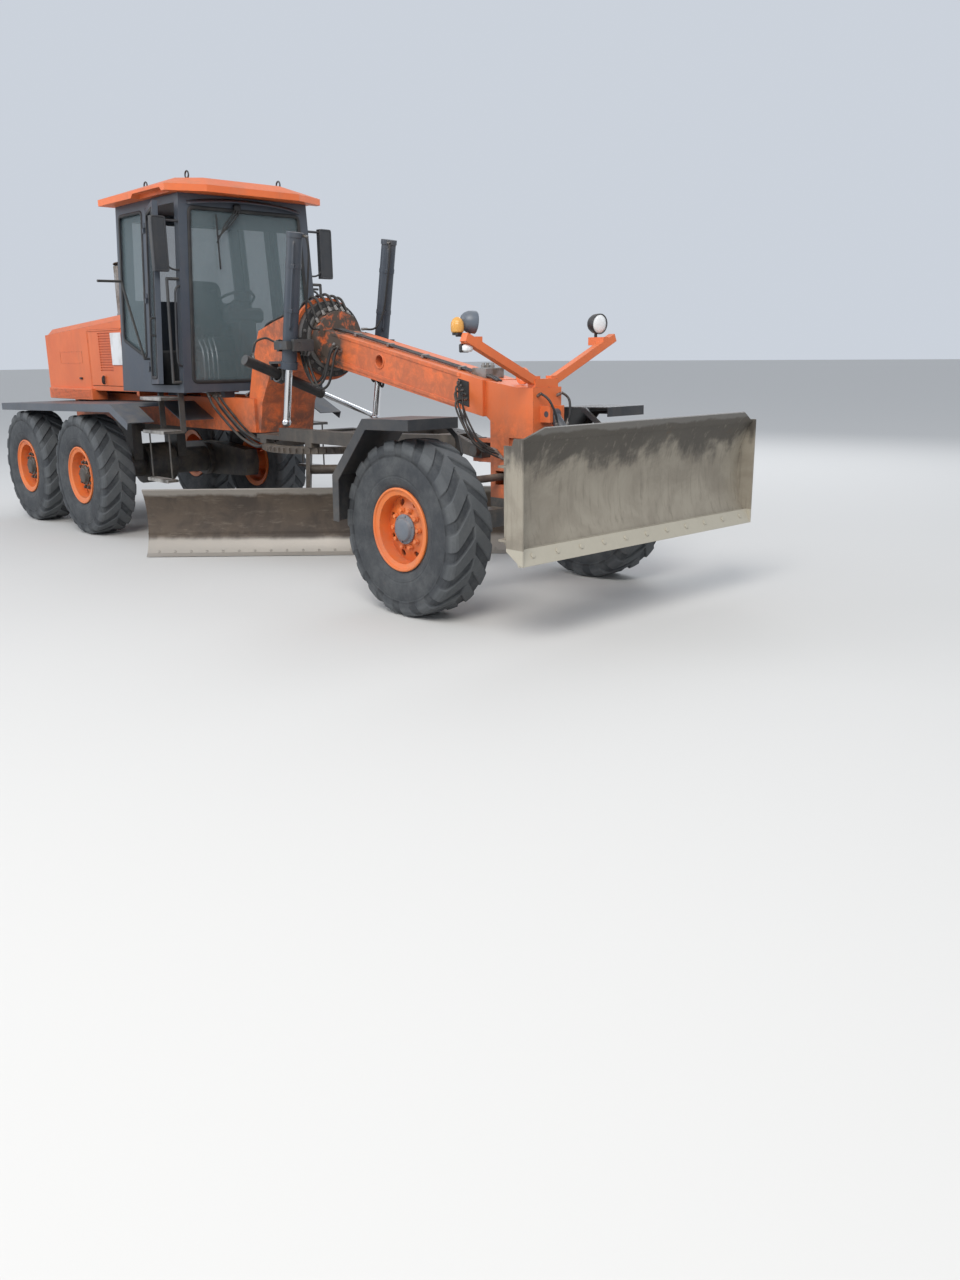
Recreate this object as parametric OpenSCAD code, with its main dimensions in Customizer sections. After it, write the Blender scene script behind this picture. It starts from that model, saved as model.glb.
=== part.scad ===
// Motor grader: three axles, main blade under the frame, dozer blade in front.
// +X points forward, +Y to the operator's left, +Z up. The ground is z = 0.

/* [Machine] */
// Front axle's distance from the middle of the whole length
front_x = 3100; // [3000:10:3200]
// Distance from the front axle to the middle of the tandem
wheelbase = 6070; // [5800:10:6200]
// Distance between the two tandem axles
tandem = 1490; // [1440:10:1600]

/* [Wheels] */
// Tyre radius over the lugs
tyre_r = 630; // [600:1:650]
// Tyre width at its widest
tyre_w = 374; // [340:2:380]
// Tyre's bore radius, where the beads sit
bead_r = 262; // [255:1:270]
// Radius of the rim's flange
flange_r = 298; // [290:1:310]
// Half the width between the rim flanges
bead_half = 150; // [140:1:155]
// Depth of a tread lug
lug_depth = 34; // [20:1:45]
// Number of lugs in each of the two rows
lug_count = 18; // [12:1:22]
// Front wheel centre's distance from the middle plane
front_y = 980; // [960:5:1010]
// Rear wheel centre's distance from the middle plane
rear_y = 1060; // [1050:5:1090]
// Number of wheel studs
stud_count = 10; // [8:1:12]
// Number of hand holes in a wheel disc
hand_holes = 8; // [6:1:10]

/* [Main frame] */
// Half the width of the box beam
beam_half = 180; // [150:5:200]
// Radius of the round neck
neck_r = 240; // [230:1:250]
// Height of the neck's axis
neck_z = 1975; // [1960:5:1990]
// Half the width of the gooseneck
goose_half = 300; // [260:5:310]
// Inner side of each chassis rail
rail_in = 220; // [200:5:230]
// Outer side of each chassis rail
rail_out = 330; // [310:5:360]
// Underside of the rails
rail_low = 1120; // [1080:5:1160]
// Top of the rails
rail_top = 1440; // [1400:5:1450]
// Radius of the orange index ring
ring_r = 360; // [340:1:380]
// Number of index holes round the ring
ring_holes = 12; // [8:1:16]

/* [Front axle] */
// Sideways place of the wheel lean pin
lean_y = 660; // [640:1:670]
// Height of the wheel lean pin
lean_z = 620; // [600:1:640]
// Height of the lean bar above the lean pin
lean_arm = 300; // [280:5:320]
// Sideways place of the kingpin
king_y = 800; // [790:1:810]
// Kingpin radius
king_r = 30; // [25:1:34]
// Spindle radius, front
spindle_r = 45; // [40:1:50]
// Spindle radius, rear
axle_r = 60; // [50:1:65]

/* [Drawbar and circle] */
// Height of the drawbar's nose swivel
ball_z = 1100; // [1080:5:1120]
// Swivel's distance behind the front axle
ball_back = 350; // [330:5:370]
// Circle centre's distance behind the swivel
circle_back = 2010; // [1980:5:2040]
// Outer radius of the circle without its teeth
circle_r = 650; // [620:5:660]
// Number of teeth on the circle
tooth_count = 60; // [40:1:72]
// Angle of the main blade from square across
blade_turn = 43; // [0:1:45]
// Length of the main blade
blade_len = 3660; // [3400:10:3740]

/* [Dozer blade] */
// Length of the dozer blade
dozer_len = 2490; // [2400:10:2530]
// Height of its lower edge above the ground, as parked
dozer_z = 557; // [500:1:600]
// Dozer pivot's distance in front of the front axle
push_x = 230; // [220:5:260]
// Height of the dozer pivot
push_z = 800; // [780:5:820]

/* [Cab] */
// Half the cab's width at the floor
cab_half = 800; // [780:5:820]
// Half the cab's width at the top
cab_half_top = 700; // [680:5:720]
// Underside of the cab floor
cab_low = 1500; // [1480:5:1520]
// Top of the cab frame
cab_top = 3300; // [3250:5:3320]
// Cab front's distance behind the front axle
cab_front = 3680; // [3660:5:3700]
// Length of the cab
cab_len = 1320; // [1280:5:1340]
// Thickness of the cab's walls and doors
wall = 50; // [40:1:60]
// How far the right door stands open, in degrees
door_open = 20; // [0:1:90]

/* [Hood] */
// Half the hood's width
hood_half = 600; // [580:5:620]
// Thickness of the hood's walls
hood_wall = 30; // [20:1:40]
// Number of louvres in a hood door
louvre_count = 15; // [8:1:18]

/* [Hidden] */

// Clearances: pins in bores, curved faces that touch, pieces that swing past
pin_gap = 0.05;
seat_gap = 0.3;

tandem_x = front_x - wheelbase;
mid_x = tandem_x + tandem / 2;
rear_x = tandem_x - tandem / 2;

// Helpers: turn a profile drawn as (x, z) into a wall across the machine
module slab(y0, y1) {
    translate([0, y1, 0]) rotate([90, 0, 0]) linear_extrude(y1 - y0) children();
}
// A profile drawn as (y, z), from x0 to x1
module strip(x0, x1) {
    translate([x0, 0, 0]) rotate([90, 0, 90]) linear_extrude(x1 - x0) children();
}
module both_sides() {
    children();
    mirror([0, 1, 0]) children();
}
module bar_y(r, y0, y1) {
    translate([0, y1, 0]) rotate([90, 0, 0]) cylinder(r = r, h = y1 - y0, $fn = 48);
}
module bar_x(r, x0, x1) {
    translate([x0, 0, 0]) rotate([0, 90, 0]) cylinder(r = r, h = x1 - x0, $fn = 48);
}
module bar_z(r, z0, z1) {
    translate([0, 0, z0]) cylinder(r = r, h = z1 - z0, $fn = 48);
}
module box(lo, hi) {
    translate(lo) cube(hi - lo);
}
// A round rod from p to q
module rod(p, q, r) {
    d = q - p;
    len = norm(d);
    translate(p) rotate([0, acos(d[2] / len), atan2(d[1], d[0])]) cylinder(r = r, h = len, $fn = 24);
}

// Main frame
ring_x = 660;
ring_t = 40;
neck_front = 900;
neck_back = 480;
beam_rear_top = 2066;
beam_rear_low = 1775;
beam_front_x = front_x - 150;
beam_front_top = 1640;
beam_front_low = 1370;
nose_x = front_x + 355;
nose_top = 1590;
nose_low = 1220;
nose_half = 150;
nose_slope = (beam_front_low + 4 - nose_low) / (front_x + 80 - beam_front_x);
eye_x = front_x + 100;
eye_z = 1668;
eye_r = 62;
eye_bore = 34;
eye_t = 24;
beam_hole_x = front_x - 1410;
beam_hole_z = 1780;
beam_hole_r = 50;
bolster_half = 150;
bolster_x = 100;
bolster_low = 760;
rail_back = -4330;
rail_front = -100;
rail_wall = rail_out - rail_in;
ball_x = front_x - ball_back;
swivel_r = 60;
swivel_pin_r = 35;
swivel_pin_half = 110;
fork_plate = 30;
fork_half = 46;
dozer_pivot_x = front_x + push_x;
dozer_pin_r = 30;
dozer_hanger_half = 130;
dozer_lug = 40;
dozer_top_x = nose_x - 35;
dozer_top_z = 1400;
hitch_out = 120;
hitch_half = 60;
hitch_low = 1150;
hitch_gap = 110;
hitch_t = 30;
hitch_pin = 65;
hitch_r = 20;
dozer_cyl_pin = 22;

module beam_profile() {
    polygon([
        [neck_front - 60, beam_rear_top], [beam_front_x, beam_front_top],
        [beam_front_x, beam_front_low], [neck_front - 60, beam_rear_low]
    ]);
}
module nose_profile() {
    polygon([
        [beam_front_x - 50, beam_front_top - 4], [beam_front_x, beam_front_top - 4], [front_x + 180, nose_top],
        [nose_x, nose_top], [nose_x, nose_low], [front_x + 80, nose_low],
        [beam_front_x, beam_front_low + 4], [beam_front_x - 50, beam_front_low + 14]
    ]);
}
module goose_profile() {
    polygon([
        [neck_back + 60, 2190], [300, 2140], [10, 2060], [-130, 1760], [-230, rail_top],
        [-230, rail_low], [-60, rail_low], [0, 1400], [180, 1690], [400, 1790], [neck_back + 60, 1790]
    ]);
}
module main_frame() color("orangered") difference() {
    union() {
        slab(-beam_half, beam_half) beam_profile();
        slab(-nose_half, nose_half) nose_profile();
        slab(-goose_half, goose_half) goose_profile();
        translate([0, 0, neck_z]) bar_x(neck_r, neck_back, neck_front);
        translate([0, 0, neck_z]) bar_x(ring_r, ring_x, ring_x + ring_t);
        both_sides() box([rail_back, rail_in, rail_low], [rail_front, rail_out, rail_top]);
        box([-230, -rail_out, rail_low], [rail_front, rail_out, rail_top]);
        box([rail_back, -rail_in, rail_low], [rail_back + 120, rail_in, rail_top]);
        // Lifting eye on the nose
        slab(-eye_t / 2, eye_t / 2) translate([eye_x, eye_z]) circle(r = eye_r, $fn = 48);
        // Tow hitch at the back
        for (z = [hitch_low, hitch_low + hitch_gap])
            box([rail_back - hitch_out, -hitch_half, z], [rail_back + 1, hitch_half, z + hitch_t]);
        // Ears for the dozer's cylinder
        both_sides() box([nose_x, 45, dozer_top_z - 60], [nose_x + 100, 75, dozer_top_z + 60]);
    }
    for (k = [0:ring_holes - 1])
        translate([0, 0, neck_z]) rotate([k * 360 / ring_holes, 0, 0])
            translate([0, 0, (ring_r + neck_r) / 2]) bar_x(22, ring_x - 1, ring_x + ring_t + 1);
    translate([eye_x, 0, eye_z]) bar_y(eye_bore, -eye_t, eye_t);
    translate([nose_x + 60, 0, dozer_top_z]) bar_y(dozer_cyl_pin + pin_gap, -100, 100);
    translate([rail_back - hitch_pin, 0, 0]) bar_z(hitch_r, hitch_low - 1, hitch_low + hitch_gap + hitch_t + 1);
    // Round hole through the beam's sides
    translate([beam_hole_x, 0, beam_hole_z]) bar_y(beam_hole_r, -beam_half - 1, beam_half + 1);
}

// Bolster over the front axle, with the fork for the drawbar's swivel and the dozer's hangers
module front_bolster() color("orangered") difference() {
    union() {
        box([front_x - bolster_x, -bolster_half, bolster_low], [front_x + bolster_x, bolster_half, nose_low]);
        slab(-bolster_half, bolster_half) polygon([
            [front_x - bolster_x, nose_low - 1], [front_x + 80, nose_low - 1], [front_x + 80, nose_low],
            [front_x - bolster_x, nose_low + (80 + bolster_x) * nose_slope]
        ]);
        for (z = [ball_z - swivel_r - 1 - fork_plate, ball_z + swivel_r + 1])
            box([ball_x - 60, -fork_half, z], [front_x - bolster_x + 1, fork_half, z + fork_plate]);
        both_sides() box([front_x + bolster_x, dozer_hanger_half - dozer_lug, push_z - 60],
            [nose_x - 20, dozer_hanger_half, nose_low]);
    }
    translate([ball_x, 0, 0]) bar_z(swivel_pin_r + pin_gap, ball_z - 120, ball_z + 120);
    translate([dozer_pivot_x, 0, push_z]) bar_y(dozer_pin_r + pin_gap, -200, 200);
    // Window for the lean bar
    box([front_x - 45, -bolster_half - 1, lean_z + lean_arm - 60],
        [front_x + 45, bolster_half + 1, lean_z + lean_arm + 45]);
}

// Saddle that carries the blade lift cylinders on the neck
gim_x = 840;
gim_y = 500;
gim_z = 1920;
gim_half = 100;
gim_t = 35;
gim_pin_r = 25;
trunnion_r = 22;
barrel_r = 65;
saddle_x = ring_x + ring_t;
saddle_t = 70;
arm_gap = 15;

// Side-shift cylinder: its cardan ring's centre below the right arm, and its ball beside the left leg
shift_root = [565, -440, 1665];
shift_end = [480, 640, 1262];
shift_pin_r = 18;
shift_trunnion_r = 14;
shift_ring_in = 56;
shift_ring_out = 72;
shift_ring_half = 28;
shift_lug_in = 76;
shift_lug_out = 96;
shift_lug_half = 42;
shift_roof = 100;
shift_post_y = [-427, -373];
swing_max = 10;
function unit(v) = v / norm(v);
function swung(p, a) = [
    ball_x + (p[0] - ball_x) * cos(a) - p[1] * sin(a), (p[0] - ball_x) * sin(a) + p[1] * cos(a), p[2]
];
shift_run = shift_end - shift_root;
shift_len = norm(shift_run);
shift_yaw = atan2(shift_run[1], shift_run[0]);
shift_drop = asin(-shift_run[2] / shift_len);
// Axis that the cylinder turns on while the drawbar swings from one side to the other
shift_axis = unit(cross(swung(shift_end, -swing_max) - shift_root, swung(shift_end, swing_max) - shift_root));

module saddle() color("dimgray") difference() {
    union() {
        translate([0, 0, neck_z]) bar_x(ring_r - 30, saddle_x, saddle_x + saddle_t);
        both_sides() {
            box([saddle_x, 250, gim_z - 60], [saddle_x + saddle_t, gim_y - gim_half - arm_gap, gim_z + 70]);
            // Two cheeks that hold the cardan ring's pins
            box([saddle_x, 380, gim_z - 50], [gim_x - gim_half - 2, gim_y + 50, gim_z + 50]);
            box([saddle_x, 345, gim_z - 50], [gim_x + gim_half + 40, 385, gim_z + 50]);
            box([gim_x + gim_half + 2, 345, gim_z - 50], [gim_x + gim_half + 40, gim_y + 50, gim_z + 50]);
        }
        // Bracket below the right arm for the side-shift cylinder's ring: post, roof plate and two lugs
        slab(shift_post_y[0], shift_post_y[1]) polygon([
            [saddle_x - 55, shift_root[2] + shift_roof + 5], [saddle_x + 12, shift_root[2] + shift_roof + 5],
            [saddle_x + 12, gim_z - 40], [saddle_x + 30, gim_z - 40], [saddle_x + 30, gim_z - 10],
            [saddle_x - 55, gim_z - 10]
        ]);
        translate(shift_root) rotate([0, 0, shift_yaw - 90]) {
            box([-shift_lug_out - 4, -shift_lug_half - 3, shift_roof], [shift_lug_out + 4, 52, shift_roof + 22]);
            for (x = [-shift_lug_out, shift_lug_in])
                box([x, -shift_lug_half, -shift_lug_half],
                    [x + shift_lug_out - shift_lug_in, shift_lug_half, shift_roof + 10]);
        }
    }
    translate([0, 0, neck_z]) bar_x(neck_r + seat_gap, saddle_x - 1, saddle_x + 300);
    for (side = [-1, 1])
        translate([0, side * gim_y, gim_z]) bar_x(gim_pin_r + pin_gap, saddle_x - 1, gim_x + 200);
    translate(shift_root) rotate([0, 0, shift_yaw]) bar_y(shift_pin_r + pin_gap, -150, 150);
}

// Points of a line, and a band of thickness t to its left
function left_of(a, b) = let (d = unit(b - a)) [-d[1], d[0]];
function mitre(pts, i, t) =
    i == 0 ? pts[0] + t * left_of(pts[0], pts[1]) :
    i == len(pts) - 1 ? pts[i] + t * left_of(pts[i - 1], pts[i]) :
    let (n = left_of(pts[i], pts[i + 1]), m = unit(left_of(pts[i - 1], pts[i]) + n))
    pts[i] + m * t / (m * n);
function band(pts, t) = concat(pts, [for (i = [len(pts) - 1:-1:0]) mitre(pts, i, t)]);

// Front axle, lean brackets and steering
axle_half = 60;
boss_r = 35;
lean_pin_r = 22;
ear_t = 20;
ear_x = axle_half + 1;
web_y0 = 700;
web_y1 = 735;
king_low = 450;
king_high = 810;
king_top = 816;
king_arm = 35;
knuckle_r = 60;
spindle_end = 1080;
hub_in = 905;
arm_x = -190;
arm_half = 12;
tie_r = 22;
stud_pin_r = 12;

module front_axle() color("dimgray") translate([front_x, 0, 0]) difference() {
    union() {
        box([-100, -bolster_half, 690], [100, bolster_half, bolster_low]);
        box([-70, -560, 555], [70, 560, 691]);
        both_sides() {
            box([-axle_half, 550, lean_z - boss_r], [axle_half, lean_y, lean_z + boss_r]);
            translate([0, lean_y, lean_z]) bar_x(boss_r, -axle_half, axle_half);
        }
    }
    for (side = [-1, 1])
        translate([0, side * lean_y, lean_z]) bar_x(lean_pin_r + pin_gap, -100, 100);
}
// Drawn for the left side
module lean_bracket() difference() {
    union() {
        for (x = [ear_x, -ear_x - ear_t])
            strip(x, x + ear_t) polygon([
                [lean_y - 40, lean_z - 45], [lean_y - 40, lean_z + lean_arm + 40],
                [lean_y + 45, lean_z + lean_arm + 40], [web_y0 + 5, lean_z + lean_arm - 60],
                [web_y1, king_high], [web_y1, king_low], [web_y0, king_low]
            ]);
        box([-ear_x - ear_t, web_y0, king_low], [ear_x + ear_t, web_y1, king_high]);
        for (z = [king_low, king_high - king_arm]) {
            box([-60, web_y1 - 1, z], [60, king_y, z + king_arm]);
            translate([0, king_y, 0]) bar_z(60, z, z + king_arm);
        }
        for (z = [lean_z, lean_z + lean_arm])
            translate([0, lean_y, z]) bar_x(lean_pin_r, -ear_x - ear_t, ear_x + ear_t);
    }
    translate([0, king_y, 0]) bar_z(king_r + pin_gap, king_low - 1, king_high + 1);
    // Room for the steering arm at full lock
    box([-ear_x - ear_t - 1, web_y0 + 10, lean_z - 30], [-45, web_y1 + 1, lean_z + 30]);
}
module lean_bracket_left() color("dimgray") translate([front_x, 0, 0]) lean_bracket();
module lean_bracket_right() color("dimgray") translate([front_x, 0, 0]) mirror([0, 1, 0]) lean_bracket();
module lean_bar() color("gray") translate([front_x, 0, lean_z + lean_arm]) difference() {
    union() {
        bar_y(28, -lean_y, lean_y);
        both_sides() translate([0, lean_y, 0]) bar_x(boss_r + 3, -axle_half, axle_half);
    }
    for (side = [-1, 1])
        translate([0, side * lean_y, 0]) bar_x(lean_pin_r + pin_gap, -100, 100);
}
module knuckle() {
    translate([0, king_y, 0]) {
        bar_z(knuckle_r, king_low + king_arm + 1, king_high - king_arm - 1);
        bar_z(king_r, king_low, king_top);
        // Steering arm straight back from the knuckle
        box([arm_x, -20, lean_z - arm_half], [-20, 20, lean_z + arm_half]);
        translate([arm_x, 0, 0]) bar_z(30, lean_z - arm_half, lean_z + arm_half);
    }
    translate([0, 0, tyre_r]) bar_y(spindle_r, king_y, spindle_end);
    translate([0, 0, tyre_r]) bar_y(spindle_r + 20, king_y, hub_in - 1);
}
module knuckle_left() color("dimgray") translate([front_x, 0, 0]) knuckle();
module knuckle_right() color("dimgray") translate([front_x, 0, 0]) mirror([0, 1, 0]) knuckle();
// The stud turns in the right arm, and the tie rod tips on the stud's cross pin
tie_z = lean_z - arm_half - 42;
module tie_rod_stud() color("gray") translate([front_x + arm_x, -king_y, 0]) {
    bar_z(26, lean_z - arm_half - 10, lean_z - arm_half - seat_gap);
    bar_z(stud_pin_r, tie_z - 6, lean_z - arm_half - 5);
    translate([0, 0, tie_z]) bar_x(stud_pin_r, -26, 26);
}
module tie_rod() color("gray") translate([front_x + arm_x, 0, tie_z]) difference() {
    union() {
        bar_y(tie_r, 60 - king_y, king_y - 20);
        // Clevis at the right end, closed eye at the left end
        for (x = [-24, 14])
            translate([0, -king_y, 0]) hull() {
                bar_x(20, x, x + 10);
                translate([0, 62, 0]) bar_x(20, x, x + 10);
            }
        translate([0, king_y, 0]) bar_z(30, -tie_r, tie_r);
        translate([0, -king_y + 52, 0]) box([-24, 0, -20], [24, 20, 20]);
    }
    translate([0, -king_y, 0]) bar_x(stud_pin_r + pin_gap, -60, 60);
}

// Front fender, drawn for the left side; its stay is bolted to the kingpin's top
fender_in = 800;
fender_out = 1250;
fender_t = 8;
fender_lip = 75;
fender_line = [[260, 1410], [-250, 1400], [-640, 980], [-650, 640]];
stay_w = 40;
stay_in = 754;
stay_out = 774;
stay_line = [[-30, king_top + 22], [35, 985], [205, 1065], [262, 1160], [230, 1280], [60, 1402]];

module front_fender() {
    slab(fender_in, fender_out) polygon(band(fender_line, fender_t));
    slab(fender_out - fender_t, fender_out) polygon(band(fender_line, fender_lip));
    box([260 - fender_t, fender_in, 1410 - fender_lip], [260, fender_out, 1410]);
    // Bent stay from the kingpin's top round to the fender's front, and its cross rail
    slab(stay_in, stay_out) polygon(band(stay_line, stay_w));
    box([20, stay_in, 1370], [20 + stay_w, fender_out, 1402]);
    box([-60, stay_in, king_top], [45, stay_out + 60, king_top + 24]);
}
module front_fender_left() color("#26292c") translate([front_x, 0, 0]) front_fender();
module front_fender_right() color("#26292c") translate([front_x, 0, 0]) mirror([0, 1, 0]) front_fender();

// Wheels and tyres, drawn round the Y axis with the outer side towards +Y
rim_in = 245;
lug_drop = 4.5;
hub_r = 105;
disc_t = 14;
hub_end = 1092;
stud_r = 14;
hand_r = 26;

module turned() {
    rotate([-90, 0, 0]) rotate_extrude($fn = 64) children();
}
// centre is the wheel's middle, y0 and y1 the hub's ends, all as distances along Y
module wheel(centre, bore, y0, y1) difference() {
    union() {
        translate([0, centre, 0]) turned() polygon([
            [rim_in, -bead_half], [flange_r, -bead_half - 16], [flange_r, -bead_half],
            [bead_r - seat_gap, -bead_half + 0.01], [bead_r - seat_gap, bead_half - 0.01],
            [flange_r, bead_half], [flange_r, bead_half + 16], [rim_in, bead_half]
        ]);
        turned() polygon([
            [hub_r, y1 - 30], [rim_in + 1, centre + 40], [rim_in + 1, centre + 40 + disc_t], [hub_r, y1 - 14]
        ]);
        bar_y(hub_r, y0, y1 - 10);
        bar_y(70, y0 + 1, y1 + 30);
        for (k = [0:stud_count - 1])
            rotate([0, k * 360 / stud_count, 0]) translate([hub_r + 32, 0, 0])
                bar_y(stud_r, y1 - 45, y1 - 2);
    }
    for (k = [0:hand_holes - 1])
        rotate([0, (k + 0.5) * 360 / hand_holes, 0]) translate([hub_r + 92, 0, 0])
            bar_y(hand_r, centre, y1 + 20);
    bar_y(bore + pin_gap, y0 - 1, y1 - 11);
}
module tyre(centre) translate([0, centre, 0]) {
    body_r = tyre_r - lug_depth;
    half = tyre_w / 2;
    turned() polygon([
        [bead_r, 0.3 - bead_half], [flange_r + 0.3, 0.3 - bead_half], [flange_r + 34, -half + 22],
        [440, -half], [body_r - 50, -half + 6], [body_r, -half + 30], [body_r + 6, 0],
        [body_r, half - 30], [body_r - 50, half - 6], [440, half], [flange_r + 34, half - 22],
        [flange_r + 0.3, bead_half - 0.3], [bead_r, bead_half - 0.3]
    ]);
    for (side = [-1, 1]) for (k = [0:lug_count - 1])
        rotate([0, (k + 0.25 * side) * 360 / lug_count, 0]) translate([body_r - 30, side * half * 0.5, 0])
            rotate([side * 28, 0, 0]) translate([0, -half * 0.55, -34])
                cube([30 + lug_depth - lug_drop, half * 1.06, 62]);
}
wheel_places = [front_x, mid_x, rear_x];
module put_wheel(x, side) translate([x, 0, tyre_r]) mirror([0, side < 0 ? 1 : 0, 0]) children();
module front_wheel() wheel(front_y, spindle_r, hub_in, hub_end);
module rear_wheel() wheel(rear_y, axle_r, case_out + 5, hub_end + rear_y - front_y);
module wheel_front_right() color("darkorange") put_wheel(front_x, -1) front_wheel();
module wheel_front_left() color("darkorange") put_wheel(front_x, 1) front_wheel();
module wheel_mid_right() color("darkorange") put_wheel(mid_x, -1) rear_wheel();
module wheel_mid_left() color("darkorange") put_wheel(mid_x, 1) rear_wheel();
module wheel_rear_right() color("darkorange") put_wheel(rear_x, -1) rear_wheel();
module wheel_rear_left() color("darkorange") put_wheel(rear_x, 1) rear_wheel();
module tyre_front_right() color("#2f3438") put_wheel(front_x, -1) tyre(front_y);
module tyre_front_left() color("#2f3438") put_wheel(front_x, 1) tyre(front_y);
module tyre_mid_right() color("#2f3438") put_wheel(mid_x, -1) tyre(rear_y);
module tyre_mid_left() color("#2f3438") put_wheel(mid_x, 1) tyre(rear_y);
module tyre_rear_right() color("#2f3438") put_wheel(rear_x, -1) tyre(rear_y);
module tyre_rear_left() color("#2f3438") put_wheel(rear_x, 1) tyre(rear_y);

// Rear axle with both tandem cases and their spindles
case_in = 690;
case_out = 850;
case_r = 200;
module tandem_axle() color("#3a3d40") {
    translate([tandem_x, 0, tyre_r]) {
        bar_y(150, -case_in - 1, case_in + 1);
        bar_y(230, -180, 180);
        both_sides() bar_y(190, case_in - 60, case_in + 1);
    }
    both_sides() {
        slab(case_in, case_out) polygon([
            [rear_x - 150, tyre_r - 150], [rear_x - 190, tyre_r], [rear_x - 150, tyre_r + 150],
            [tandem_x - 250, tyre_r + case_r], [tandem_x + 250, tyre_r + case_r],
            [mid_x + 150, tyre_r + 150], [mid_x + 190, tyre_r], [mid_x + 150, tyre_r - 150],
            [tandem_x + 250, tyre_r - case_r + 20], [tandem_x - 250, tyre_r - case_r + 20]
        ]);
        for (x = [mid_x, rear_x])
            translate([x, 0, tyre_r]) bar_y(axle_r, case_out - 1, hub_end + rear_y - front_y - 20);
        // Saddle blocks up to the rails
        box([tandem_x - 160, rail_in, tyre_r + 60], [tandem_x + 160, rail_out, rail_low]);
    }
}

// Rear fenders, drawn for the left side
deck_t = 8;
deck_lip = 78;
deck_line = [[-900, 1230], [-1280, 1395], [-4250, 1335]];
module rear_fenders() color("#7d858c") both_sides() difference() {
    union() {
        slab(rail_out, fender_out) polygon(band(deck_line, deck_t));
        slab(fender_out - deck_t, fender_out) polygon(band(deck_line, deck_lip));
    }
    // Notch round the steps
    box([step_x0 - 15, step_in - 20, 1100], [0, step_out + 15, 1500]);
}

// Engine and gearbox between the rails, as plain blocks
module powertrain() color("#4a4d4f") {
    box([-3900, -rail_in, 1010], [-2700, rail_in, 1950]);
    box([-2700, -rail_in, 1130], [-2150, rail_in, 1420]);
}

// Hood with side openings for its doors
hood_front = -1960;
hood_back = -4370;
hood_low = 1480;
hood_front_top = 2312;
hood_back_top = 2175;
hood_door_x0 = -3133;
hood_door_x1 = -2250;
hood_door_z0 = 1530;
hood_door_z1 = 2140;
hood_hinge_r = 9;
hood_hinge_z = hood_door_z1 - 11;
louvre_x0 = -2866;
louvre_x1 = -2533;
louvre_z0 = 1694;
louvre_pitch = 28;
hood_chamfer = 70;
door_seam = 6;
pipe_x = front_x - 6600;
pipe_r = 45;
module hood_shape(inset) {
    difference() {
        slab(-hood_half + inset, hood_half - inset) polygon([
            [hood_front - inset, hood_low - inset * 2], [hood_front - inset, hood_front_top - inset],
            [hood_back + inset, hood_back_top - inset], [hood_back + inset, hood_low - inset * 2]
        ]);
        // Long chamfers along both top edges
        for (side = [-1, 1])
            translate([0, side * (hood_half - inset), 0]) slope_cut(inset, side);
    }
}
module slope_cut(inset, side) {
    angle = atan2(hood_front_top - hood_back_top, hood_front - hood_back);
    translate([hood_back, 0, hood_back_top - inset]) rotate([0, -angle, 0]) rotate([side * 45, 0, 0])
        translate([-300, -hood_chamfer, -hood_chamfer * 0.7]) cube([3200, hood_chamfer * 2, hood_chamfer * 2]);
}
module hood_openings(gap) {
    both_sides() box([hood_door_x0 - gap, hood_half - hood_wall - 1, hood_door_z0 - gap],
        [hood_door_x1 + gap, hood_half + 1, hood_door_z1 + gap]);
}
module hood() color("orangered") difference() {
    union() {
        difference() {
            hood_shape(0);
            hood_shape(hood_wall);
        }
        // Feet on the rails
        both_sides() for (x = [hood_front - 60, hood_back])
            box([x, rail_in, rail_top], [x + 60, hood_half, hood_low + 1]);
    }
    hood_openings(0);
    translate([pipe_x, 0, 0]) bar_z(pipe_r + seat_gap, 1900, 2500);
    box([hood_back - 1, -480, 1560], [hood_back + hood_wall + 1, 480, 2080]);
}
// Drawn for the left side, hung on its top edge
module hood_door() difference() {
    union() {
        box([hood_door_x0 + door_seam, hood_half - hood_wall, hood_door_z0 + door_seam],
            [hood_door_x1 - door_seam, hood_half, hood_door_z1 - door_seam]);
        translate([0, hood_half, hood_hinge_z])
            bar_x(hood_hinge_r, hood_door_x0 + 4 * door_seam, hood_door_x1 - 4 * door_seam);
    }
    for (k = [0:louvre_count - 1])
        box([louvre_x0, hood_half - 12, louvre_z0 + k * louvre_pitch],
            [louvre_x1, hood_half + 1, louvre_z0 + k * louvre_pitch + 13]);
}
module hood_door_left() color("darkorange") hood_door();
module hood_door_right() color("darkorange") mirror([0, 1, 0]) hood_door();
module radiator_grille() color("#33373a") {
    for (z = [1560, 2060])
        box([hood_back, -480, z], [hood_back + hood_wall, 480, z + 20]);
    both_sides() box([hood_back, 460, 1580], [hood_back + hood_wall, 480, 2060]);
    for (k = [0:11])
        box([hood_back + 8, -460, 1605 + k * 38], [hood_back + 22, 460, 1625 + k * 38]);
}
module exhaust_stack() color("#5a5550") translate([pipe_x, 0, 0]) difference() {
    bar_z(pipe_r, 1950, 2870);
    bar_z(pipe_r - 5, 2600, 2871);
}

// Cab: a hollow box whose sides lean in towards the roof
cab_x1 = front_x - cab_front;
cab_x0 = cab_x1 - cab_len;
floor_z = cab_low + wall;
lean_in = (cab_half - cab_half_top) / (cab_top - cab_low);
doorway_x0 = -1250;
doorway_x1 = -660;
doorway_z0 = 1570;
doorway_z1 = 3220;
quarter_outline = [[-1830, 2010], [-1330, 1830], [-1330, 3200], [-1830, 3200]];
screen_outline = [[-690, 1600], [690, 1600], [600, 3180], [-600, 3180]];
rear_outline = [[-600, 2400], [600, 2400], [560, 3160], [-560, 3160]];
frame_w = 60;
door_gap = 6;
hinge_out = 15;
hinge_r = 12;

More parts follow.
